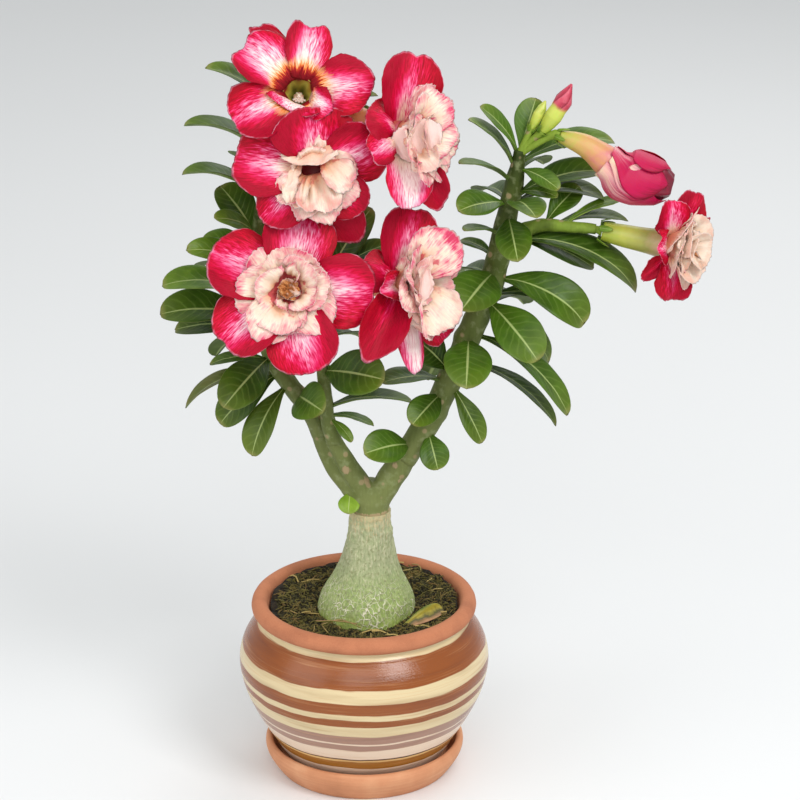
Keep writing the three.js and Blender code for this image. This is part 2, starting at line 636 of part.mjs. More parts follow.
function furledBud({ path, radii, winding, ridges, relief }, swell = 0) {
  const points = along(path);
  points[0].addScaledVector(points[1].clone().sub(points[0]).normalize(), GAP);
  const curve = new THREE.CatmullRomCurve3(points, false, "centripetal");
  const steps = radii.length - 1;
  const sides = 2 * ridges;
  const frames = curve.computeFrenetFrames(steps, false);
  const geometry = new THREE.CylinderGeometry(1, 1, 1, sides, steps);
  const position = geometry.attributes.position;
  for (let k = 0; k < position.count; k += 1) {
    const step = Math.round((position.getY(k) + 0.5) * steps);
    const share = step / steps;
    const angle = Math.atan2(position.getZ(k), position.getX(k));
    const spoke = Math.hypot(position.getX(k), position.getZ(k));
    const ridge = share > FURL_FROM ? relief * Math.cos(ridges * angle) : 0;
    const radius = spoke * (radii[step] * (1 + ridge) + swell);
    const wound = angle + winding * Math.PI * Math.max(0, share - FURL_FROM);
    const point = curve
      .getPointAt(share)
      .addScaledVector(frames.normals[step], Math.cos(wound) * radius)
      .addScaledVector(frames.binormals[step], -Math.sin(wound) * radius);
    if (step === 0) point.addScaledVector(frames.tangents[0], -swell);
    if (step === steps) point.addScaledVector(frames.tangents[steps], swell);
    position.setXYZ(k, point.x, point.y, point.z);
  }
  return solid(geometry);
}

// ---------------------------------------------------------------- leafy shoots

const STALK_RADII = [2.2, 2.2, 2.4, CALYX_RADIUS];

// A flower stalk that widens into its calyx.
function stalkBody({ stalk }, swell) {
  return limb(along(stalk), STALK_RADII, { sides: STALK_SIDES, swell, steps: 4 });
}

const SHOOT_LEAVES = { outer: OUTER_LEAVES, inner: INNER_LEAVES, right: RIGHT_LEAVES };

function shoot(name, swell = 0) {
  const stem = STEMS[name];
  const flowers = [...Object.values(BLOOMS), ...Object.values(BUDS)];
  const stalks = flowers.filter((flower) => flower.stem === name);
  const parts = [stemBody(stem, swell), ...stalks.map((one) => stalkBody(one, swell))];
  const twig = name === "right" ? [SIDE_TWIG] : [];
  for (const { path, radii } of twig) parts.push(limb(along(path), radii, { swell, sides: STALK_SIDES }));
  for (const row of SHOOT_LEAVES[name]) {
    const onTwig = name === "right" && row[0] >= SIDE_TWIG_LEAVES_FROM;
    parts.push(leafBlade(row, onTwig ? SIDE_TWIG : stem, swell));
  }
  return joined(parts);
}

// What lies below the flat cut of the graft.
function belowGraft() {
  const depth = 30;
  const radius = 25;
  const block = new THREE.CylinderGeometry(radius, radius, depth, 12).rotateX(Math.PI / 2);
  block.translate(GRAFT_OFFSET, 0, GRAFT_HEIGHT + GAP - depth / 2);
  return solid(block);
}

const COLLAR_HEIGHT = 9;
const CROTCH_HEIGHT = 15;
const FORK_LIMBS = [
  { path: OUTER_LIMB, radii: [7.5, 5.8, 5.2, 4.9] },
  { path: INNER_LIMB, radii: [7, 5.6, 4.8, 4.2] },
  { path: RIGHT_LIMB, radii: [8.5, 7, 6.6, 6.5] },
];

// The bare fork of the scion: a short collar on the graft, three limbs and one young leaf.
function fork(swell = 0) {
  const above = (rise) => new THREE.Vector3(GRAFT_OFFSET, 0, GRAFT_HEIGHT + GAP + rise);
  const collarPath = [above(0), above(COLLAR_HEIGHT), above(CROTCH_HEIGHT)];
  const collar = limb(collarPath, [GRAFT_RADIUS, 10.4, 7], { sides: 16, steps: 4, swell });
  const limbs = FORK_LIMBS.map(({ path, radii }) => limb(along(path), radii, { swell, steps: 5 }));
  const grown = joined([collar, ...limbs, leafBlade(FORK_LEAF, FORK_LIMBS[0], swell)]);
  return grown.subtract(belowGraft());
}

// ---------------------------------------------------------------- rootstock, soil and holders

// Radius at each height, from the buried tip to the graft.
const CAUDEX_PROFILE = [
  [0, CAUDEX_BOTTOM], [4.5, 47], [9, 52], [14, 60], [19, 69], [22.8, 77], [24, 84],
  [CAUDEX_BELLY_RADIUS, 88.5], [23.3, 94], [20.6, 99.5], [17.5, 105], [15.2, 111], [13.4, 117],
  [11.9, 124], [10.8, 131], [10.3, 137], [GRAFT_RADIUS, GRAFT_HEIGHT], [0, GRAFT_HEIGHT],
];
const CAUDEX_FOOT_OFFSET = 1.2;
const CAUDEX_SHOWN = 57.5; // height over which it leans and its lumps fade out towards the graft

function caudexGeometry(swell = 0) {
  const geometry = turned(CAUDEX_PROFILE, CAUDEX_SIDES);
  const position = geometry.attributes.position;
  for (let k = 0; k < position.count; k += 1) {
    const [x, y, z] = [position.getX(k), position.getY(k), position.getZ(k)];
    const spoke = Math.hypot(x, y);
    if (spoke < 1e-6) {
      position.setX(k, caudexAxis(z));
      continue;
    }
    const angle = Math.atan2(y, x);
    const share = THREE.MathUtils.clamp((GRAFT_HEIGHT - z) / CAUDEX_SHOWN, 0, 1);
    const lumps = share * (0.8 * Math.sin(2 * angle + 1.1) + 0.6 * Math.sin(3 * angle + 0.4 + z / 17));
    const scale = (spoke + swell + lumps) / spoke;
    position.setXYZ(k, x * scale + caudexAxis(z), y * scale, z);
  }
  return geometry;
}

function caudexAxis(height) {
  const share = THREE.MathUtils.clamp(1 - (GRAFT_HEIGHT - height) / CAUDEX_SHOWN, 0, 1);
  return THREE.MathUtils.lerp(CAUDEX_FOOT_OFFSET, GRAFT_OFFSET, share);
}

const SAUCER_PROFILE = [
  [0, 0], [SAUCER_BASE_RADIUS, 0], [46, 2], [49, 6], [SAUCER_LIP_RADIUS, 11],
  [SAUCER_LIP_RADIUS, 14], [50, SAUCER_HEIGHT], [48.2, 15.6], [46.8, 11],
  [42.5, SAUCER_FLOOR], [0, SAUCER_FLOOR],
];

const POT_INNER_WALL = [
  [POT_MOUTH_RADIUS, 92], [48.3, 84], [55.4, 75.4], [57.6, 60], [43.6, 25], [31, POT_FLOOR_TOP],
];
const POT_PROFILE = [
  [DRAIN_RADIUS, SAUCER_FLOOR + GAP], [POT_FOOT_RADIUS, SAUCER_FLOOR + GAP], [43.5, 12],
  [55.8, 33], [61.6, 45], [POT_BELLY_RADIUS, 57], [63.8, 65], [61.2, 72.5],
  [56.8, 79], [POT_NECK_RADIUS, 83.8], [56, 86.2], [POT_RIM_RADIUS, 89.5],
  [56.4, 93], [53, POT_TOP],
  ...POT_INNER_WALL, [DRAIN_RADIUS, POT_FLOOR_TOP], [DRAIN_RADIUS, SAUCER_FLOOR + GAP],
];

const SOIL_EDGE = 47.6;
const SOIL_BANK = 3.4; // how much higher the soil lies against the rim than at the middle
const SOIL_SLOPE = 2.6; // how much higher it lies behind the trunk than beside it
const SOIL_RELIEF = 0.9;
const SOIL_PROFILE = [
  [0, POT_FLOOR_TOP + GAP], [30, POT_FLOOR_TOP + GAP], [42.4, 25], [56.2, 60], [54, 75.2],
  [SOIL_EDGE, 83.4], [SOIL_EDGE, SOIL_LEVEL], [40, SOIL_LEVEL], [31, SOIL_LEVEL],
  [22, SOIL_LEVEL], [0, SOIL_LEVEL],
];

// Height of the soil over its level: banked up against the rim and at the back, and lumpy.
function soilRelief(x, y) {
  const bank = SOIL_BANK * ((x * x + y * y) / (SOIL_EDGE * SOIL_EDGE));
  const slope = SOIL_SLOPE * Math.tanh((y + 5) / 15);
  const broad = Math.sin(0.31 * x + 1.3) * Math.sin(0.27 * y + 0.4);
  const fine = 0.6 * Math.sin(0.53 * x - 0.47 * y);
  return bank + slope + SOIL_RELIEF * (broad + fine);
}

function soilGeometry() {
  const geometry = turned(SOIL_PROFILE, SOIL_SIDES);
  const position = geometry.attributes.position;
  const edge = 83.5; // only the points above this are on the surface
  for (let k = 0; k < position.count; k += 1) {
    const [x, y, z] = [position.getX(k), position.getY(k), position.getZ(k)];
    if (z > edge) position.setZ(k, z + soilRelief(x, y));
  }
  return geometry;
}

// A dead leaf that lies on the soil to the right of the trunk, a little pressed into it.
function fallenLeaf(swell = 0) {
  return blade({
    root: new THREE.Vector3(20.5, -20.5, 85.4), tip: new THREE.Vector3(40.5, -6, 89.2),
    face: new THREE.Vector3(0.5, -0.8, 0.9), width: 8, thickness: LEAF_THICKNESS, swell,
    neck: 0.3, rise: 28, droop: 30, fold: 0.35,
  });
}

// ---------------------------------------------------------------- assembly

const COLOURS = {
  terracotta: 0xc87c52, glaze: 0x8a5330, soil: 0x3a3020, dryLeaf: 0xb9a64a, caudex: 0xa8b48a,
  bark: 0x6f7f55, leaf: 0x35622a, petal: 0xcc1a44, heart: 0xf2d3bd, tip: 0xc8354a, green: 0xb4bf52,
};

const FINEST = 0.16; // joins and cuts leave no detail finer than this
const PAD = 0.45; // how far a cutting copy is swollen, which leaves at least the gap

const root = new THREE.Group();

function add(name, geometry, colour, roughness) {
  const material = new THREE.MeshStandardMaterial({ color: colour, roughness, metalness: 0 });
  const mesh = new THREE.Mesh(geometry, material);
  mesh.name = name;
  root.add(mesh);
}

function addBody(name, body, colour, roughness) {
  add(name, geometryOf(largestBody(body.simplify(FINEST))), colour, roughness);
}

// Blooms come first. Each later piece is trimmed clear of the swollen copies of what it would cross.
const bloomNames = Object.keys(BLOOMS);
const taken = [];
for (const name of bloomNames) {
  const bloom = BLOOMS[name];
  const others = taken.length > 0 ? [joined(taken)] : [];
  const trim = (body, own = []) => {
    return [...others, ...own].reduce((rest, cutter) => rest.subtract(cutter), body);
  };
  if (bloom.heart) {
    const core = heart(bloom).subtract(corolla(bloom, PAD));
    addBody(`${name}_heart`, trim(core), COLOURS.heart, 0.6);
    addBody(`${name}_corolla`, trim(corolla(bloom)), COLOURS.petal, 0.5);
    taken.push(heart(bloom, PAD), corolla(bloom, PAD));
  } else {
    addBody(`${name}_corolla`, trim(corolla(bloom), [funnel(bloom)]), COLOURS.petal, 0.5);
    addBody(`${name}_stamens`, stamens(bloom), COLOURS.heart, 0.6);
    taken.push(corolla(bloom, PAD));
  }
}
for (const name of Object.keys(BUDS)) {
  const body = taken.reduce((rest, cutter) => rest.subtract(cutter), furledBud(BUDS[name]));
  addBody(name, body, name === "bud_green" ? COLOURS.green : COLOURS.tip, 0.5);
  taken.push(furledBud(BUDS[name], PAD));
}

addBody("fork", fork().subtract(joined(taken)), COLOURS.bark, 0.8);
taken.push(fork(PAD));
for (const name of ["right", "inner", "outer"]) {
  const label = name === "right" ? "shoot_right" : `shoot_left_${name}`;
  addBody(label, shoot(name).subtract(joined(taken)), COLOURS.leaf, 0.45);
  taken.push(shoot(name, PAD));
}

addBody("caudex", solid(caudexGeometry()), COLOURS.caudex, 0.8);
const socket = solid(caudexGeometry(GAP));
addBody("soil", solid(soilGeometry()).subtract(socket).subtract(fallenLeaf(PAD)), COLOURS.soil, 1);
addBody("fallen_leaf", fallenLeaf(), COLOURS.dryLeaf, 0.8);
addBody("pot", solid(turned(POT_PROFILE, POT_SIDES)), COLOURS.glaze, 0.4);
addBody("saucer", solid(turned(SAUCER_PROFILE, POT_SIDES)), COLOURS.terracotta, 0.9);

export default root;
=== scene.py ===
"""Potted desert rose: a grafted adenium in a banded clay pot on its saucer, built piece by piece."""

import math
from functools import partial

import bpy
import numpy as np
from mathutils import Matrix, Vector
from bpy.props import FloatProperty, FloatVectorProperty, IntProperty, PointerProperty


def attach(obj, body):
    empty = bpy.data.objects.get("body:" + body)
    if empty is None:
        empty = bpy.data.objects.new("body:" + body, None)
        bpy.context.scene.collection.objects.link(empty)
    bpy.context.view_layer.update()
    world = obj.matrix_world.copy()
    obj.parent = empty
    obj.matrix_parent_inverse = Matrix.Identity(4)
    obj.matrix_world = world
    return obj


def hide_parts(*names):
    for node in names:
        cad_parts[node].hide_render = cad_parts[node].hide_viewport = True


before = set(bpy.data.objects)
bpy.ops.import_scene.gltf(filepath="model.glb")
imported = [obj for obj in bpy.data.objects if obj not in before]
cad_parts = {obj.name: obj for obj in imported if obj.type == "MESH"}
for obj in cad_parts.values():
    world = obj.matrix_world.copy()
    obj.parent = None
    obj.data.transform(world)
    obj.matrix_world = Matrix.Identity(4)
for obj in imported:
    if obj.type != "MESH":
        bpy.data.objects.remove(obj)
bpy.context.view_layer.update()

bl_info = {
    "name": "Potted Desert Rose",
    "version": (1, 0, 0),
    "blender": (4, 5, 0),
    "location": "3D View > Sidebar > Desert Rose",
    "description": "Builds a grafted desert rose with double blooms in its banded clay pot",
    "category": "Add Mesh",
}

MM = 0.001

# ------------------------------------------------------------------ places on the plant
# The crown is set out as it is seen from in front and a little above: millimetres across and up
# from the crown's middle, and how far the point stands in front of the pot's axis.

TILT = math.radians(20.8)  # how far the eye stands above the horizontal
SIGHT_DISTANCE = 1500.0  # mm from the eye to the crown's middle
CROWN_MIDDLE = np.array([18.5, 0.0, 200.6])  # mm
ACROSS = np.array([1.0, 0.0, 0.0])
UP = np.array([0.0, math.sin(TILT), math.cos(TILT)])
TOWARDS = np.array([0.0, -math.cos(TILT), math.sin(TILT)])
GAP = 0.3  # mm between a stalk's end and the foot of its flower's tube


def place(spot):
    """The point of the row frame, in mm, that a spot of the set-out stands for."""
    across, up, front = spot
    rise = up * math.sin(TILT)
    towards = (front + rise) / (math.cos(TILT) + rise / SIGHT_DISTANCE)
    scale = 1 - towards / SIGHT_DISTANCE
    return CROWN_MIDDLE + ACROSS * across * scale + UP * up * scale + TOWARDS * towards


def unit(vector):
    """The same direction, one long."""
    vector = np.asarray(vector, float)
    return vector / np.linalg.norm(vector)


def heading(parts):
    """The direction that points so far across, up and towards the viewer."""
    across, up, towards = parts
    return unit(ACROSS * across + UP * up + TOWARDS * towards)


def draws(seed):
    """A repeatable stream of draws between -1 and 1."""
    generator = np.random.default_rng(seed)
    return lambda: float(generator.uniform(-1, 1))


# ------------------------------------------------------------------ curves


def smooth_path(points, samples):
    """Points of the centripetal curve through the given ones, evenly spaced in its parameter."""
    points = np.asarray(points, float)
    padded = np.vstack([2 * points[0] - points[1], points, 2 * points[-1] - points[-2]])
    made = []
    for t in np.linspace(0, len(points) - 1, samples):
        k = min(int(t), len(points) - 2)
        p0, p1, p2, p3 = padded[k:k + 4]
        d0, d1, d2 = np.maximum(np.linalg.norm(np.diff((p0, p1, p2, p3), axis=0), axis=1), 1e-6) ** 0.5
        m1 = ((p1 - p0) / d0 - (p2 - p0) / (d0 + d1) + (p2 - p1) / d1) * d1
        m2 = ((p2 - p1) / d1 - (p3 - p1) / (d1 + d2) + (p3 - p2) / d2) * d1
        s = t - k
        made.append(
            p1 + m1 * s + (-3 * p1 + 3 * p2 - 2 * m1 - m2) * s ** 2
            + (2 * p1 - 2 * p2 + m1 + m2) * s ** 3
        )
    return np.array(made)


def even_path(points, count):
    """The smooth path through the points, in evenly long steps."""
    fine = smooth_path(points, 40 * len(points))
    run = np.concatenate([[0], np.cumsum(np.linalg.norm(np.diff(fine, axis=0), axis=1))])
    at = np.linspace(0, run[-1], count)
    return np.stack([np.interp(at, run, fine[:, k]) for k in range(3)], 1)


def cubic(controls, t):
    """Points and unit tangents of a cubic Bezier curve."""
    a, b, c, d = [np.asarray(p, float) for p in controls]
    t = np.asarray(t, float)[..., None]
    point = (1 - t) ** 3 * a + 3 * (1 - t) ** 2 * t * b + 3 * (1 - t) * t ** 2 * c + t ** 3 * d
    slope = 3 * (1 - t) ** 2 * (b - a) + 6 * (1 - t) * t * (c - b) + 3 * t ** 2 * (d - c)
    return point, slope / np.linalg.norm(slope, axis=-1, keepdims=True)


def carried_frames(path):
    """Tangents and two normals along a path that don't spin about it."""
    tangents = np.gradient(path, axis=0)
    tangents /= np.linalg.norm(tangents, axis=1, keepdims=True)
    guide = np.array([0.0, -1.0, 0.0]) if abs(tangents[0][1]) < 0.9 else ACROSS
    normals = [unit(guide - tangents[0] * (guide @ tangents[0]))]
    for tangent in tangents[1:]:
        normals.append(unit(normals[-1] - tangent * (normals[-1] @ tangent)))
    normals = np.array(normals)
    return tangents, normals, np.cross(tangents, normals)


# ------------------------------------------------------------------ meshes


class Gather:
    """Collects the points, faces and per-point values of one piece, in mm."""

    TRAITS = ("tone", "blush", "warm", "seed")

    def __init__(self):
        self.points, self.uvs, self.faces, self.finishes = [], [], [], []
        self.traits = {name: [] for name in self.TRAITS}
        self.count = 0

    def take(self, points, uvs, faces, finishes, **traits):
        """Adds a closed shell. finishes is one material index, or one for each face."""
        self.points.append(points)
        self.uvs.append(uvs)
        for name in self.TRAITS:
            self.traits[name].append(np.broadcast_to(traits.get(name, 0.0), len(points)))
        self.faces += [tuple(int(v) + self.count for v in face) for face in faces]
        self.finishes += finishes if isinstance(finishes, list) else [finishes] * len(faces)
        self.count += len(points)


def bare(name, points, faces, edges=()):
    """A new object made of plain points, in mm."""
    mesh = bpy.data.meshes.new(name)
    mesh.from_pydata((np.asarray(points, float) * MM).tolist(), list(edges), faces)
    piece = bpy.data.objects.new(name, mesh)
    bpy.context.scene.collection.objects.link(piece)
    return piece


def finished(piece, nodes):
    """Gives a piece its place in the frame and the CAD nodes that it stands for."""
    if not piece.data.polygons:
        raise RuntimeError(f"{piece.name} came out empty")
    piece.data.shade_smooth()
    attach(piece, "root")
    if nodes:
        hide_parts(*nodes)
    return piece


def mark(piece, name, values):
    """Stores one value for each point of a piece, for its material to read."""
    attribute = piece.data.attributes.new(name, "FLOAT", "POINT")
    attribute.data.foreach_set("value", np.asarray(values, np.float32))


def as_piece(name, gather, materials, nodes):
    """Makes the gathered shells one object."""
    piece = bare(name, np.concatenate(gather.points), gather.faces)
    mesh = piece.data
    corners = np.zeros(len(mesh.loops), np.int32)
    mesh.loops.foreach_get("vertex_index", corners)
    layer = mesh.uv_layers.new(name="UVMap")
    layer.data.foreach_set("uv", np.concatenate(gather.uvs)[corners].astype(np.float32).ravel())
    for trait, values in gather.traits.items():
        mark(piece, trait, np.concatenate(values))
    for material in materials:
        mesh.materials.append(finish_of(material) if isinstance(material, str) else material)
    mesh.polygons.foreach_set("material_index", np.array(gather.finishes, np.int32))
    return finished(piece, nodes)


def between(a, b, sides, inward=False):
    """Quads that join the ring of points starting at a to the ring starting at b."""
    order = (0, 3, 2, 1) if inward else (0, 1, 2, 3)
    quads = [(a + i, a + (i + 1) % sides, b + (i + 1) % sides, b + i) for i in range(sides)]
    return [tuple(quad[k] for k in order) for quad in quads]


def tube(gather, path, radii, finish=0, sides=20, rings=40, shape=None, hollow=(), lining=0, **traits):
    """A round limb on an even path. shape(angle, share) may scale the radius at each point.

    hollow is a row of radii and depths that lead back in from the far end, lined with a finish."""
    line = even_path(path, rings)
    share = np.linspace(0, 1, rings)
    radius = np.interp(share, np.linspace(0, 1, len(radii)), radii)
    _, first, second = carried_frames(line)
    angle = np.linspace(0, 2 * math.pi, sides, endpoint=False)
    grid = np.ones((rings, sides)) if shape is None else shape(angle[None, :], share[:, None])
    reach = (radius[:, None] * grid)[..., None]
    spokes = first[:, None] * np.cos(angle)[None, :, None] + second[:, None] * np.sin(angle)[None, :, None]
    points = (line[:, None] + spokes * reach).reshape(-1, 3)
    around = angle / (2 * math.pi)
    uvs = np.stack([np.tile(around, rings), np.repeat(share, sides)], 1)
    tangent = unit(line[-1] - line[-2])
    for row, (inner, depth) in enumerate(hollow):
        points = np.vstack([points, line[-1] - tangent * depth + spokes[-1] * inner])
        uvs = np.vstack([uvs, np.stack([around, np.full(sides, (row + 1) / len(hollow))], 1)])
    total = rings + len(hollow)
    faces = [quad for j in range(total - 1) for quad in between(j * sides, (j + 1) * sides, sides)]
    finishes = [finish] * (rings - 1) * sides + [lining] * len(hollow) * sides
    points = np.vstack([points, line[0], line[-1] - tangent * (hollow[-1][1] if hollow else 0)])
    uvs = np.vstack([uvs, [0.5, 0], [0.5, 1]])
    last = (total - 1) * sides
    for i in range(sides):
        k = (i + 1) % sides
        faces += [(k, i, total * sides), (last + i, last + k, total * sides + 1)]
        finishes += [finish, lining if hollow else finish]
    gather.take(points, uvs, faces, finishes, **traits)


WIDEST = 0.64  # share of a leaf's length at which it is widest


def fray(position, phase):
    """Uneven teeth along a margin, between -1 and 1."""
    return (0.5 * np.sin(31 * position + 5 * phase) + 0.3 * np.sin(53 * position + 3 * phase)
            + 0.2 * np.sin(83 * position + phase))


def creases(x, y, phase):
    """Soft folds that cross each other at uneven angles."""
    total = 0.0
    for k, (pitch, turn) in enumerate(((3.1, 0.3), (4.3, 1.5), (5.9, 2.4), (8.3, 0.9))):
        slope = turn + 0.4 * math.sin(phase * (k + 1))
        along = x * math.cos(slope) + y * math.sin(slope)
        total = total + np.sin(pitch * along + phase * (3 + k)) / (1 + 0.4 * k)
    return total / 2.4


def leaf_spread(v, neck):
    """Share of a leaf's width at shares of its length: a spoon with a rounded end."""
    rounded = np.sqrt(np.clip(1 - ((v - WIDEST) / (1 - WIDEST)) ** 2, 0, 1))
    tapered = neck + (1 - neck) * np.sin(np.clip(v / WIDEST, 0, 1) * math.pi / 2) ** 1.5
    return np.where(v > WIDEST, rounded, tapered)


def petal_spread(v, neck):
    """Share of a petal's width at shares of its length: a fan."""
    return neck + (1 - neck) * np.sin(v * math.pi / 2) ** 1.15


def blade(gather, root, tip, face, width, neck=0.25, shoulder=0.4, rise=25, droop=25, fold=0.0,
          cup=0.0, curl=0.0, wave=0.0, waves=1.1, phase=0.0, frill=0.0, frills=9.0, furrow=0.0,
          notch=0.0, ragged=0.0, corners=(), crumple=0.0, twist=0.0, rib=0.0, thickness=0.9,
          pointed=False, cells=24, rows=20, finish=0, back=1, **traits):
    """A leaf or petal: a closed shell from its root to its tip on an arched spine.

    fold lifts both halves off the midrib, cup and curl lift the edges, wave and frill ruffle them,
    furrow creases the blade lengthwise, crumple bends it at random, notch dents the tip, ragged
    frays the margin, and corners draw it out or in at angles off the tip (angle, reach, spread)."""
    root, tip = np.asarray(root, float), np.asarray(tip, float)
    length = np.linalg.norm(tip - root)
    ahead = unit(tip - root)
    lift = unit(face - ahead * (face @ ahead))
    side = np.cross(ahead, lift)
    leaning = lambda degrees: (
        ahead * math.cos(math.radians(degrees)) + lift * math.sin(math.radians(degrees)))
    spine = (root, root + leaning(rise) * length * 0.36, tip - leaning(-droop) * length * 0.36, tip)
    u = np.linspace(-1, 1, cells + 1)[None, :] * np.ones((rows + 1, 1))
    v = np.linspace(0, 1, rows + 1)
    v = (1 - (1 - v) ** 1.35 if pointed else v)[:, None] * np.ones((1, cells + 1))
    bend = u * math.pi / 2
    rim = np.arctan2(u, np.maximum(v, 1e-6))
    edge = np.maximum(np.abs(u), v)
    dent = notch * np.exp(-((u - 0.05) / 0.12) ** 2) * v ** 5
    torn = ragged * edge ** 9 * fray(rim * 2.2 * width / (width + length), phase)
    for where, drawn, spread_of in corners:
        torn = torn + drawn * np.exp(-((np.degrees(rim) - where) / spread_of) ** 2) * edge ** 5
    scallop = 1 + (0.5 * frill * np.sin(frills * 0.7 * rim + 2 * phase) * edge ** 6 + torn) / length
    along = np.clip(v * (1 - shoulder + shoulder * np.cos(bend)) * (1 - dent) * scallop, 0, 1.12)
    spread = leaf_spread(v, neck) if pointed else petal_spread(v, neck)
    offset = (width / 2 * spread + torn * np.abs(u) ** 6) * np.sin(bend)
    out = offset / (width / 2)
    middle, tangent = cubic(spine, along)
    roll = np.radians(twist) * along
    upright = np.cross(side, tangent)
    sideways = side * np.cos(roll)[..., None] + upright * np.sin(roll)[..., None]
    upright = np.cross(sideways, tangent)
    ruffle = wave * out ** 2 * v * np.sin(2 * math.pi * waves * v + phase + np.where(u > 0, 0, 2))
    uneven = 0.7 + 0.3 * np.sin(2.3 * rim + 3 * phase)
    crimp = frill * edge ** 3.5 * np.sin(frills * rim + phase) * uneven
    crease = furrow * np.sin(u * 11 + phase) * np.sin(v * math.pi) * (1 - u ** 4)
    soft = np.sqrt(offset ** 2 + 0.8) - 0.894
    height = fold * soft + cup * offset * out + curl * np.abs(out) ** 4 + ruffle + crimp + crease
    height = height + crumple * creases(u, v * 2 * length / width, phase) * v ** 0.7
    half = thickness / 2 * np.sqrt((1 - u ** 2) * (1 - v ** 8)) * (1 - 0.5 * v)
    ridge = rib * np.exp(-(offset / 0.9) ** 2) * (1 - v) ** 1.2
    surface = middle + sideways * offset[..., None] + upright * height[..., None]
    shell(gather, surface, upright, half, half + ridge, u, v, finish, back, **traits)


def shell(gather, surface, normal, above, below, u, v, finish, back, **traits):
    """Closes a sheet of rows and cells into a thin shell whose margin is a single edge."""
    rows, cells = surface.shape[0] - 1, surface.shape[1] - 1
    over = surface + normal * above[..., None]
    under = surface - normal * below[..., None]
    top = np.arange((rows + 1) * (cells + 1)).reshape(rows + 1, cells + 1)
    low = top.copy()
    low[:rows, 1:cells] = top.size + np.arange(rows * (cells - 1)).reshape(rows, cells - 1)
    points = np.vstack([over.reshape(-1, 3), under[:rows, 1:cells].reshape(-1, 3)])
    flat = np.stack([u / 2 + 0.5, v], -1)
    uvs = np.vstack([flat.reshape(-1, 2), flat[:rows, 1:cells].reshape(-1, 2)])
    upper = np.stack([top[:-1, :-1], top[:-1, 1:], top[1:, 1:], top[1:, :-1]], -1).reshape(-1, 4)
    lower = np.stack([low[:-1, :-1], low[1:, :-1], low[1:, 1:], low[:-1, 1:]], -1).reshape(-1, 4)
    wall = [tuple(dict.fromkeys((top[0, i + 1], top[0, i], low[0, i], low[0, i + 1])))
            for i in range(cells)]
    faces = upper.tolist() + lower.tolist() + wall
    finishes = [finish] * len(upper) + [back] * (len(lower) + len(wall))
    gather.take(points, uvs, faces, finishes, **traits)


def wrapped(gather, path, radii, begin, end, turn, span, winding, loose, flare, cells=30, rows=36,
            **traits):
    """A petal wound around a bud from one share of its length to another, with one edge loose."""
    line = even_path(path, 160)
    _, first, second = carried_frames(line)
    u = np.linspace(-1, 1, cells + 1)[None, :] * np.ones((rows + 1, 1))
    v = np.linspace(0, 1, rows + 1)[:, None] * np.ones((1, cells + 1))
    wide = 0.55 + 0.45 * np.sin(np.clip(v / 0.55, 0, 1) * math.pi / 2)
    wide = wide * np.sqrt(np.clip(1 - np.clip((v - 0.6) / 0.42, 0, 1) ** 2, 0, 1))
    share = begin + (end - begin) * v * (1 - 0.1 * u ** 2)
    angle = math.radians(turn) + math.radians(winding) * v + math.radians(span) / 2 * u * wide
    known = np.linspace(0, 1, 160)
    centre, one, two = [np.stack([np.interp(share, known, values[:, k]) for k in range(3)], -1)
                        for values in (line, first, second)]
    spoke = one * np.cos(angle)[..., None] + two * np.sin(angle)[..., None]
    radius = np.interp(share, np.linspace(0, 1, len(radii)), radii) + 0.3 + 0.45 * (1 + u)
    radius = radius + loose * np.maximum(u, 0) ** 3 * np.sin(math.pi * v) + flare * v ** 3
    radius = radius + 0.25 * np.sin(9 * v + 4 * u + math.radians(turn))
    half = 0.4 * np.sqrt((1 - u ** 2) * (1 - v ** 8))
    surface = centre + spoke * radius[..., None]
    shell(gather, surface, spoke, half, half, u, 0.3 + 0.7 * v, 0, 1, **traits)


